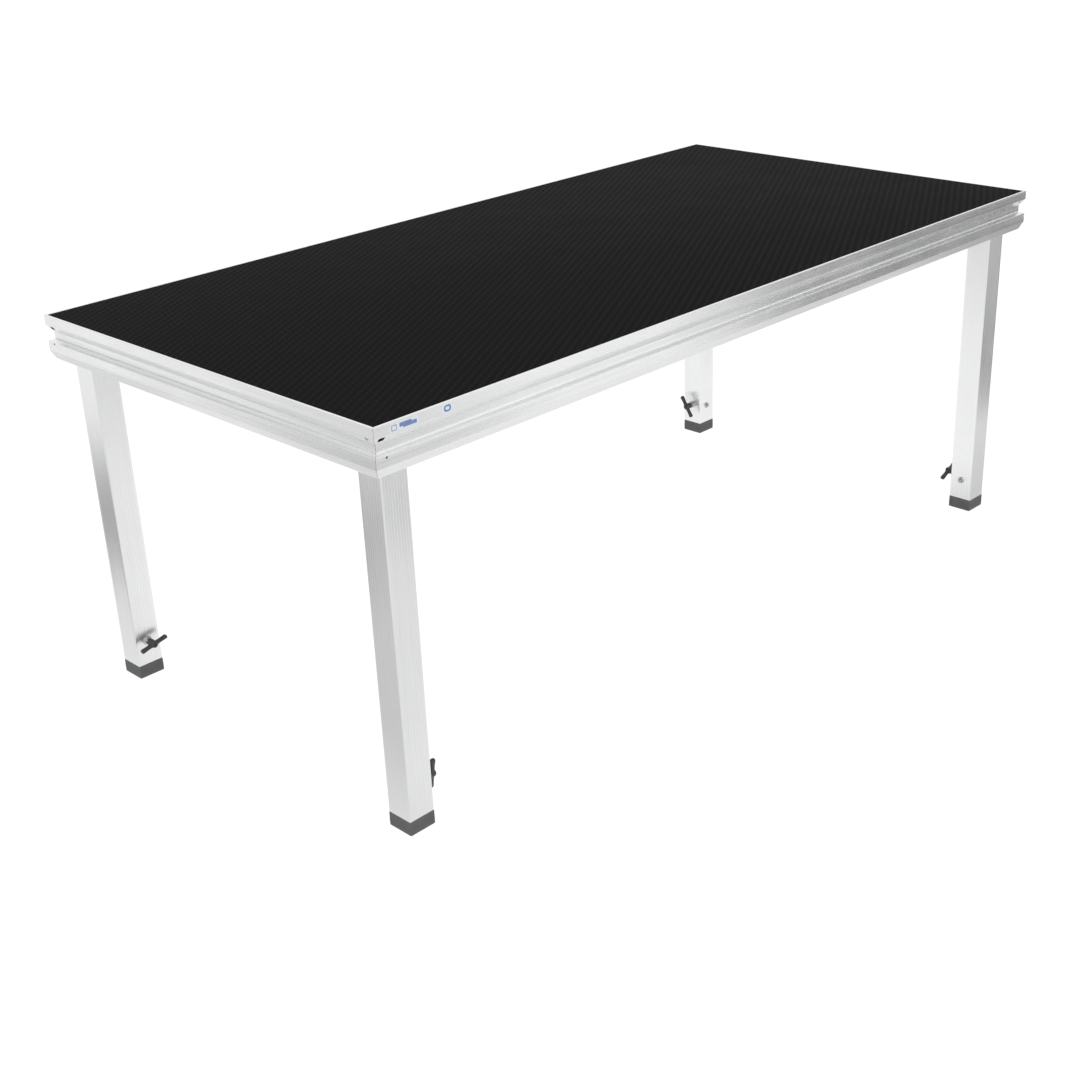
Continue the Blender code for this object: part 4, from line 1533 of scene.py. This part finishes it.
@dataclass
class Leg:
    """One leg: the ribbed outer tube, the plain inner tube, its guide and its foot cap.

    Attributes:
        corner: the corner it stands in.
        finishes: the platform's finishes.
        half: half the outer tube's width.
        wall: the outer tube's wall.
        radius: of its long edges.
        ribs: grooves on each face.
        pitch: groove to groove.
        depth: how deep a groove is.
        groove: how wide a groove is.
        knob_height: the knob's axis over the floor.
        button_height: the button's axis over the floor.
        nut_hole: radius of the hole for the knob's nut.
        bush_hole: radius of the hole for the button's bush.
    """

    corner: Corner
    finishes: FinishBook
    half: float = 0.029
    wall: float = 0.003
    radius: float = 0.0022
    ribs: int = 8
    pitch: float = 0.006
    depth: float = 0.00032
    groove: float = 0.0014
    knob_height: float = 0.082
    button_height: float = 0.078
    nut_hole: float = 0.0073
    bush_hole: float = 0.0063

    def ribbed(self) -> list[Point2]:
        """Draws the outer tube's outline, with its grooves.

        Returns:
            The outline.
        """
        points: list[Point2] = []
        for turn in range(4):
            face = []
            for rib in range(self.ribs):
                middle = (rib - (self.ribs - 1) / 2) * self.pitch
                for step in range(5):
                    share = step / 4
                    drop = self.depth * math.sin(math.pi * share)
                    face.append((self.half - drop, middle + (share - 0.5) * self.groove))
            inner = self.half - self.radius
            for step in range(5):
                angle = math.radians(90 * step / 4)
                face.append((inner + self.radius * math.cos(angle), inner + self.radius * math.sin(angle)))
            spin = Matrix.Rotation(math.radians(90 * turn), 2)
            points += [tuple(spin @ Vector(point)) for point in face]
        return points

    def build_tube(self, name: str) -> bpy.types.Object:
        """Makes the outer tube, with its nut and bush holes.

        Args:
            name: the corner's words.

        Returns:
            The tube.
        """
        low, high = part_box("leg_tube_" + name)
        bore = Outline.square(self.half - self.wall, 0.0006, 2)
        ends = {-1: low.z, 1: high.z}
        shell = Shell()
        shell.prism([self.ribbed(), bore], lambda across, end: ends[end])
        tube = shell.done("outer_tube_" + name, [self.finishes.tube], Matrix.Identity(4))
        knob = Matrix.Translation((0, 0, self.knob_height)) @ ALONG_X
        button = Matrix.Translation((0, 0, self.button_height)) @ ALONG_Y
        cutters = [
            Workshop.rod(self.nut_hole, self.half - 0.005, self.half + 0.004, knob),
            Workshop.rod(self.bush_hole, self.half - 0.005, self.half + 0.004, button),
        ]
        Workshop.carve(tube, cutters)
        tube.data.transform(self.corner.place())
        Workshop.smooth(tube, 32)
        return Workshop.fit(tube, "leg_" + name, "tube_aluminium", "leg_tube_" + name)

    def build_cap(self, name: str) -> bpy.types.Object:
        """Makes the moulded foot cap, with its tread and its pocket.

        Args:
            name: the corner's words.

        Returns:
            The cap.
        """
        low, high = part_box("foot_cap_" + name)
        half = (high.x - low.x) / 2
        top = high.z
        levels = [
            (0.0040, 0.0008, 0.0), (0.0048, 0.001, 0.0012),
            (0.0072, 0.001, 0.0012), (0.0080, 0.001, 0.0),
        ]
        for start in (0.0115, 0.0185):
            levels += [(start, 0.001, 0.0), (start + 0.0008, 0.001, 0.0012),
                       (start + 0.0032, 0.001, 0.0012), (start + 0.004, 0.001, 0.0)]
        levels += [
            (half - 0.0024, 0.0016, 0.0), (half - 0.0011, 0.0024, 0.0003), (half - 0.0004, 0.0028, 0.0010),
            (half - 0.0002, 0.0030, 0.0022), (half - 0.00015, 0.0030, 0.0120),
            (half, 0.0031, 0.0123), (half, 0.0031, 0.0127), (half - 0.00015, 0.0030, 0.0130),
            (half - 0.0003, 0.0030, top - 0.0018), (half - 0.0006, 0.0028, top - 0.0007),
            (half - 0.0013, 0.0024, top - 0.0001), (half - 0.0019, 0.0020, top),
            (0.0263, 0.0012, top), (0.0259, 0.0010, top - 0.0005),
            (0.0258, 0.0010, 0.0052), (0.0254, 0.0008, 0.005),
        ]
        rings: list = [[(0.0, 0.0, 0.0)]]
        for reach, radius, level in levels:
            rings.append([(across, up, level) for across, up in Outline.square(reach, radius)])
        rings.append([(0.0, 0.0, 0.005)])
        shell = Shell()
        shell.loft(rings)
        cap = shell.done("rubber_foot_" + name, [self.finishes.rubber], self.corner.place(), 40)
        Workshop.flatten_shading(cap)
        return Workshop.fit(cap, "foot_" + name, "cap_rubber", "foot_cap_" + name)

    def build(self) -> list[bpy.types.Object]:
        """Dresses the inner tube and guide, and makes the tube and cap.

        Returns:
            The new pieces.
        """
        name = self.corner.label
        Workshop.dress("leg_inner_" + name, self.finishes.inner)
        Workshop.dress("guide_block_" + name, self.finishes.nylon)
        return [self.build_tube(name), self.build_cap(name)]


@dataclass
class HeightClamp:
    """The wing knob with its stud and thrust pad, and the nut in the tube.

    Attributes:
        corner: the corner whose leg it clamps.
        finishes: the platform's finishes.
        half: from the leg's axis to the tube's face.
        level: the knob's axis over the floor.
        span: wing tip to wing tip.
        back: the hub's back, from the tube's face.
        front: the hub's front.
        hub: the hub's radius.
        wing_level: the wings' middle, from the tube's face.
        voxel: how finely the wings are blended into the hub.
    """

    corner: Corner
    finishes: FinishBook
    half: float = 0.029
    level: float = 0.082
    span: float = 0.066
    back: float = 0.009
    front: float = 0.031
    hub: float = 0.008
    wing_level: float = 0.0245
    voxel: float = 0.00055

    def axis(self) -> Matrix:
        """Where the knob's axis is, outward from the tube's face."""
        return self.corner.place() @ Matrix.Translation((self.half, 0, self.level)) @ ALONG_X

    def wing(self, side: int) -> list[list[tuple[float, float, float]]]:
        """Draws one wing, from inside the hub to its blunt tip.

        Args:
            side: -1 or 1.

        Returns:
            The rings of the wing, tip last.
        """
        tip = self.span / 2
        stations = (
            (0.0000, 0.0060, 0.0048), (0.0070, 0.0055, 0.0046), (0.0110, 0.0048, 0.0043),
            (0.0160, 0.0047, 0.0042), (0.0210, 0.0050, 0.0043), (0.0255, 0.0054, 0.0044),
            (tip - 0.0034, 0.0055, 0.0044), (tip - 0.0014, 0.0050, 0.0040),
            (tip - 0.0004, 0.0038, 0.0031), (tip - 0.0001, 0.0018, 0.0015),
        )
        rings: list = [[(0.0, 0.0, self.wing_level)]]
        for reach, high, thick in stations:
            ring = []
            for step in range(24):
                angle = 2 * math.pi * step / 24
                cos, sin = math.cos(angle), math.sin(angle)
                across = math.copysign(abs(cos) ** 0.72, cos) * thick
                up = math.copysign(abs(sin) ** 0.72, sin) * high
                ring.append((side * reach, across, self.wing_level + up))
            rings.append(ring)
        rings.append([(side * tip, 0.0, self.wing_level)])
        return rings

    def build_knob(self, name: str) -> bpy.types.Object:
        """Makes the moulded knob, its wings blended into the hub.

        Args:
            name: the corner's words.

        Returns:
            The knob.
        """
        shell = Shell()
        section = [
            (0, self.back), (self.hub - 0.0011, self.back), (self.hub - 0.0003, self.back + 0.0004),
            (self.hub, self.back + 0.0012), (self.hub - 0.0002, self.back + 0.0075),
            (self.hub - 0.0006, self.front - 0.0026), (self.hub - 0.0012, self.front - 0.0011),
            (self.hub - 0.0022, self.front - 0.0002), (self.hub - 0.0028, self.front),
            (0.0046, self.front - 0.0001), (0.0043, self.front - 0.0008), (0, self.front - 0.0008),
        ]
        shell.turned(section, 48)
        for side in (-1, 1):
            shell.loft(self.wing(side))
        spun = self.axis() @ Matrix.Rotation(self.corner.spin, 4, "Z")
        knob = shell.done("wing_grip_" + name, [self.finishes.knob], spun, 180)
        remesh = knob.modifiers.new("blend", "REMESH")
        remesh.mode = "VOXEL"
        remesh.voxel_size = self.voxel
        remesh.use_smooth_shade = True
        soften = knob.modifiers.new("soften", "SMOOTH")
        soften.factor = 0.5
        soften.iterations = 5
        lighten = knob.modifiers.new("lighten", "DECIMATE")
        lighten.ratio = 0.3
        Workshop.settle(knob)
        if not knob.data.materials:
            knob.data.materials.append(self.finishes.knob)
        Workshop.smooth(knob, 60)
        return Workshop.fit(knob, "knob_" + name, "knob_plastic", "wing_knob_" + name)

    def build_insert(self, name: str) -> bpy.types.Object:
        """Makes the black cap over the stud's end in the hub's front.

        Args:
            name: the corner's words.

        Returns:
            The cap.
        """
        shell = Shell()
        low = self.front - 0.0012
        shell.turned([
            (0, low), (0.0040, low), (0.0042, self.front - 0.0006), (0.0040, self.front - 0.0001),
            (0.0032, self.front + 0.0003), (0.0018, self.front + 0.0006),
            (0.0009, self.front + 0.00065), (0.0006, self.front + 0.0003), (0, self.front + 0.0003),
        ], 40)
        piece = shell.done("knob_insert_" + name, [self.finishes.nylon], self.axis(), 50)
        return Workshop.fit(piece, "knob_" + name, "black_nylon")

    def build_stud(self, name: str) -> bpy.types.Object:
        """Makes the threaded stud.

        Args:
            name: the corner's words.

        Returns:
            The stud.
        """
        low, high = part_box("knob_stud_" + name)
        inverse = self.axis().inverted()
        ends = sorted((inverse @ Vector(corner)).z for corner in (low, high))
        shell = Shell()
        ThreadedShank(0.00495, 0.0015, ends[0], ends[1]).add_to(shell)
        piece = shell.done("threaded_stud_" + name, [self.finishes.zinc], self.axis(), 50)
        return Workshop.fit(piece, "knob_" + name, "zinc_steel", "knob_stud_" + name)

    def build_nut(self, name: str) -> bpy.types.Object:
        """Makes the flanged nut in the tube's wall.

        Args:
            name: the corner's words.

        Returns:
            The nut.
        """
        shell = Shell()
        section = [
            (0.0053, -0.0027), (0.0070, -0.0027), (0.0070, 0.0003), (0.0098, 0.0003), (0.0100, 0.0006),
            (0.0100, 0.0022), (0.0096, 0.0027), (0.0081, 0.0031), (0.0078, 0.0036), (0.0077, 0.0046),
            (0.0072, 0.0050), (0.0059, 0.0050), (0.0053, 0.0045), (0.0053, -0.0027),
        ]
        rings = [Shell.circle(radius, height, 48) for radius, height in section[:-1]]
        shell.loft([*rings, rings[0]])
        bmesh.ops.remove_doubles(shell.mesh, verts=shell.mesh.verts, dist=0.000001)
        piece = shell.done("flanged_nut_" + name, [self.finishes.zinc], self.axis(), 32)
        return Workshop.fit(piece, "leg_" + name, "zinc_steel", "knob_nut_" + name)

    def build(self) -> list[bpy.types.Object]:
        """Makes the knob, insert, stud and nut, and dresses the thrust pad.

        Returns:
            The new pieces.
        """
        name = self.corner.label
        Workshop.dress("thrust_pad_" + name, self.finishes.nylon)
        return [make(name) for make in (self.build_knob, self.build_insert, self.build_stud, self.build_nut)]


@dataclass
class LockButton:
    """The sprung lock button and the bush that it stands in.

    Attributes:
        corner: the corner whose leg it locks.
        finishes: the platform's finishes.
        half: from the leg's axis to the tube's face.
        level: the button's axis over the floor.
    """

    corner: Corner
    finishes: FinishBook
    half: float = 0.029
    level: float = 0.078

    def axis(self) -> Matrix:
        """Where the button's axis is, outward from the tube's face."""
        return self.corner.place() @ Matrix.Translation((0, self.half, self.level)) @ ALONG_Y

    def build(self) -> list[bpy.types.Object]:
        """Makes the bush and the button.

        Returns:
            Both pieces.
        """
        name = self.corner.label
        bush = Shell()
        section = [
            (0.0043, -0.0027), (0.0060, -0.0027), (0.0060, 0.0003), (0.0079, 0.0003), (0.0080, 0.0006),
            (0.0080, 0.0015), (0.0076, 0.0021), (0.0067, 0.0025), (0.0050, 0.0025), (0.0044, 0.0022),
            (0.0043, 0.0018),
        ]
        rings = [Shell.circle(radius, height, 48) for radius, height in section]
        bush.loft([*rings, rings[0]])
        bmesh.ops.remove_doubles(bush.mesh, verts=bush.mesh.verts, dist=0.000001)
        collar = bush.done("button_collar_" + name, [self.finishes.button], self.axis(), 32)
        button = Shell()
        dome = [(0.004 * math.sin(math.radians(a)), 0.008 - 0.0018 * (1 - math.cos(math.radians(a))))
                for a in (20, 40, 60, 78, 90)]
        button.turned([(0, 0.008), *dome, (0.004, -0.0027), (0, -0.0027)], 40)
        pin = button.done("lock_pin_" + name, [self.finishes.button], self.axis(), 32)
        return [
            Workshop.fit(collar, "leg_" + name, "button_grey", "button_bush_" + name),
            Workshop.fit(pin, "button_" + name, "button_grey", "lock_button_" + name),
        ]


# ------------------------------------------------------------------- studio ----


@dataclass(frozen=True)
class Patch:
    """One soft-edged patch of tone on the floor's reflection sheet.

    Attributes:
        place: its middle.
        reach: its half sizes.
        turn: how far it is turned, in degrees.
        tone: its brightness.
        edge: where its edge starts to fade, as a share of its size.
    """

    place: Point2
    reach: Point2
    turn: float
    tone: float
    edge: float = 0.7


@dataclass(frozen=True)
class Glow:
    """One soft round patch of tone on the surround.

    Attributes:
        azimuth: its direction over the floor, in degrees from X.
        rise: its height, in degrees.
        inner: where it starts to fade, in degrees from its middle.
        outer: where it has faded out.
        tone: its brightness.
    """

    azimuth: float
    rise: float
    inner: float
    outer: float
    tone: float

    def way(self) -> tuple[float, float, float]:
        """Gives the direction of its middle."""
        turn, rise = math.radians(self.azimuth), math.radians(self.rise)
        return (math.cos(turn) * math.cos(rise), math.sin(turn) * math.cos(rise), math.sin(rise))


@dataclass(frozen=True)
class Softbox:
    """One soft round light.

    Attributes:
        name: its name.
        place: where it hangs.
        aim: the point that it faces.
        size: its width.
        power: its power in watts.
    """

    name: str
    place: tuple[float, float, float]
    aim: tuple[float, float, float]
    size: float
    power: float


@dataclass
class Studio:
    """The plain pale floor, the soft lights, the surround and the camera.

    Attributes:
        floor_glow: the floor's own light, which keeps shadows faint.
        floor_white: how much light it gives back.
        floor_reach: half its width.
        sky_tone: brightness of the surround.
        sheet_reach: half the width of the sheet that only reflections see.
        sheet_tone: that sheet's brightness.
        patches: lighter and darker patches on the sheet.
        sky: lighter and darker patches on the surround.
        lights: the soft lights.
        lens: the camera's focal length in millimetres, on a 36 mm frame.
        camera_place: where the camera is.
        azimuth: the camera's turn about Z, in radians.
        elevation: how far it looks down, in radians.
        roll: its turn about its own axis, in radians.
    """

    floor_glow: float = 0.93
    floor_white: float = 0.07
    floor_reach: float = 30.0
    sky_tone: float = 0.95
    sheet_reach: float = 15.0
    sheet_tone: float = 0.98
    patches: tuple[Patch, ...] = (
        Patch((-0.1, -1.0), (1.35, 0.62), 0, 0.80, 0.6),
        Patch((0.0, 0.05), (1.25, 0.80), 0, 0.98, 0.6),
        Patch((1.15, -0.62), (0.40, 0.26), -25, 0.66, 0.5),
        Patch((-1.48, -0.12), (0.50, 0.80), 0, 0.60, 0.5),
        Patch((-1.75, 0.98), (0.85, 0.40), 58, 0.34, 0.6),
        Patch((-1.86, 0.64), (0.42, 0.40), 0, 0.24, 0.5),
        Patch((0.12, -1.86), (0.48, 0.46), 0, 0.30, 0.6),
        Patch((1.25, -2.20), (0.72, 0.50), 0, 1.10, 0.5),
        Patch((3.3, -1.40), (1.85, 1.02), 0, 0.22, 0.88),
        Patch((1.85, -0.98), (0.34, 0.28), 0, 0.16, 0.5),
        Patch((5.0, -3.6), (2.6, 2.3), 0, 0.24, 0.8),
        Patch((9.6, -9.2), (4.4, 4.4), 0, 1.60, 0.6),
        Patch((-7.3, 10.0), (4.6, 4.6), 0, 0.30, 0.6),
        Patch((1.9, 3.3), (2.5, 1.5), 0, 0.55, 0.75),
        Patch((-2.9, -2.2), (1.3, 1.5), 0, 0.55, 0.7),
    )
    sky: tuple[Glow, ...] = (
        Glow(-20, 23, 9, 22, 0.22),
        Glow(-24, 40, 4, 9, 1.15),
        Glow(-44, 0, 6, 16, 1.60),
        Glow(126, 0, 8, 18, 0.30),
    )
    lights: tuple[Softbox, ...] = (
        Softbox("right_softbox", (-0.2, -3.3, 4.4), (-0.2, -0.4, 0.7), 2.2, 19.0),
        Softbox("left_softbox", (-3.6, 0.6, 3.0), (-0.4, 0.0, 0.7), 1.4, 8.0),
    )
    lens: float = 53.972
    camera_place: tuple[float, float, float] = (-2.492390, -2.385617, 1.695006)
    azimuth: float = -0.7752873
    elevation: float = 0.4324872
    roll: float = -0.0428956

    def build_sheet(self) -> bpy.types.Object:
        """Makes the sheet of soft tones that only reflections see.

        Returns:
            The sheet.
        """
        graph = Graph("reflection_sheet")
        where = graph.coordinates(Grain.NONE)
        tone: Socket | Colour = (self.sheet_tone,) * 3
        for patch in self.patches:
            feeds = {
                "Vector": where, "Location": (*patch.place, 0.0), "Scale": (*patch.reach, 1.0),
                "Rotation": (0.0, 0.0, math.radians(patch.turn)),
            }
            local = graph.node("Mapping", feeds, vector_type="TEXTURE").outputs["Vector"]
            away = graph.node("VectorMath", {0: local}, operation="LENGTH").outputs["Value"]
            cover = graph.span(away, (patch.edge, 2.0 - patch.edge), (1.0, 0.0))
            tone = graph.mix(cover, tone, (patch.tone,) * 3)
        glow = graph.node("Emission", {"Color": tone, "Strength": 1.0}).outputs[0]
        graph.feed(graph.tree.nodes["Material Output"].inputs["Surface"], glow)
        sheet = self.spread("reflection_sheet", graph.material, self.sheet_reach, 0.0003)
        sheet.visible_camera = sheet.visible_diffuse = sheet.visible_shadow = False
        sheet.visible_transmission = sheet.visible_volume_scatter = False
        return sheet

    def spread(self, name: str, material: bpy.types.Material, reach: float, level: float) -> bpy.types.Object:
        """Lays a flat square sheet.

        Args:
            name: its name.
            material: its finish.
            reach: half its size.
            level: its height.

        Returns:
            The sheet.
        """
        shell = Shell()
        shell.lid([shell.ring([(a * reach, b * reach, level) for a, b in SQUARE])])
        sheet = shell.done(name, [material], Matrix.Identity(4))
        return sheet

    def build_floor(self) -> bpy.types.Object:
        """Makes the floor. It lights and reflects, and the camera sees the same pale tone through it.

        So legs that are let down past the floor's level stay in sight.

        Returns:
            The floor.
        """
        graph = Graph("studio_floor")
        cloud = graph.noise(graph.coordinates(Grain.NONE), 1.5, 3.0)
        white = self.floor_white
        tone = graph.mix(cloud, (white, white, white), (white * 1.02, white * 1.02, white * 1.02))
        graph.shade(Base_Color=tone, Roughness=0.9, Specular_IOR_Level=0.0)
        graph.shade(Emission_Color=(1.0, 1.0, 1.0), Emission_Strength=self.floor_glow)
        floor = self.spread("studio_floor", graph.material, self.floor_reach, -0.0002)
        floor.visible_camera = False
        return floor

    def build_world(self) -> None:
        """Makes the pale surround, with soft lighter and darker patches for the metal to show."""
        world = bpy.data.worlds.new("studio_surround")
        world.use_nodes = True
        nodes, links = world.node_tree.nodes, world.node_tree.links
        where = nodes.new("ShaderNodeTexCoord")
        tone: Socket | None = None
        for glow in self.sky:
            toward = nodes.new("ShaderNodeVectorMath")
            toward.operation = "DOT_PRODUCT"
            toward.inputs[1].default_value = glow.way()
            links.new(where.outputs["Generated"], toward.inputs[0])
            cover = nodes.new("ShaderNodeMapRange")
            cover.interpolation_type = "SMOOTHSTEP"
            links.new(toward.outputs["Value"], cover.inputs["Value"])
            cover.inputs["From Min"].default_value = math.cos(math.radians(glow.outer))
            cover.inputs["From Max"].default_value = math.cos(math.radians(glow.inner))
            blend = nodes.new("ShaderNodeMix")
            links.new(cover.outputs["Result"], blend.inputs[0])
            blend.inputs[2].default_value = self.sky_tone
            if tone is not None:
                links.new(tone, blend.inputs[2])
            blend.inputs[3].default_value = glow.tone
            tone = blend.outputs[0]
        path = nodes.new("ShaderNodeLightPath")
        strength = nodes.new("ShaderNodeMix")
        links.new(path.outputs["Is Camera Ray"], strength.inputs[0])
        links.new(tone, strength.inputs[2])
        strength.inputs[3].default_value = 1.05
        links.new(strength.outputs[0], nodes["Background"].inputs["Strength"])
        nodes["Background"].inputs["Color"].default_value = (1, 1, 1, 1)
        bpy.context.scene.world = world

    def build_light(self, light: Softbox) -> None:
        """Hangs one soft light.

        Args:
            light: the light.
        """
        data = bpy.data.lights.new(light.name, "AREA")
        data.shape = "DISK"
        data.size = light.size
        data.energy = light.power
        lamp = bpy.data.objects.new(light.name, data)
        lamp.location = light.place
        lamp.rotation_mode = "QUATERNION"
        lamp.rotation_quaternion = (Vector(light.aim) - Vector(light.place)).to_track_quat("-Z", "Y")
        lamp.visible_camera = False
        bpy.context.scene.collection.objects.link(lamp)

    def build_camera(self) -> None:
        """Sets the camera at its place, with no shift and no depth of field."""
        cos_a, sin_a = math.cos(self.azimuth), math.sin(self.azimuth)
        cos_e, sin_e = math.cos(self.elevation), math.sin(self.elevation)
        forward = Vector((-sin_a * cos_e, cos_a * cos_e, -sin_e))
        right = Vector((cos_a, sin_a, 0))
        upward = right.cross(forward)
        cos_r, sin_r = math.cos(self.roll), math.sin(self.roll)
        across = right * cos_r + upward * sin_r
        up = upward * cos_r - right * sin_r
        data = bpy.data.cameras.new("camera")
        data.sensor_width = 36.0
        data.lens = self.lens
        data.clip_start = 0.05
        data.clip_end = 200.0
        camera = bpy.data.objects.new("camera", data)
        turn = Matrix((across, up, -forward)).transposed().to_4x4()
        camera.matrix_world = Matrix.Translation(self.camera_place) @ turn
        bpy.context.scene.collection.objects.link(camera)
        bpy.context.scene.camera = camera

    def build(self) -> None:
        """Makes the whole studio."""
        bpy.context.scene.view_settings.view_transform = "Standard"
        self.build_floor()
        self.build_world()
        self.build_sheet()
        for light in self.lights:
            self.build_light(light)
        self.build_camera()


# --------------------------------------------------------------------- main ----


def report(label: str, pieces: Sequence[bpy.types.Object]) -> None:
    """Logs each piece of a sub-assembly.

    Args:
        label: the sub-assembly's name.
        pieces: its new pieces.
    """
    LOG.info("%s: %d new pieces", label, len(pieces))
    for piece in pieces:
        LOG.info("  %s rides on %s", piece.name, piece["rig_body"])


def main() -> None:
    """Builds the platform, then the studio round it."""
    finishes = FinishBook()
    report("deck frame", DeckFrame(finishes).build())
    report("deck board", DeckBoard(finishes).build())
    report("crossbeams", Crossbeams(finishes).build())
    report("labels", Labels(finishes).build())
    for corner in Corner:
        report("socket " + corner.label, CornerSocket(corner, finishes).build())
        report("leg " + corner.label, Leg(corner, finishes).build())
        report("height clamp " + corner.label, HeightClamp(corner, finishes).build())
        report("lock button " + corner.label, LockButton(corner, finishes).build())
    Studio().build()


if __name__ == "__main__":
    main()
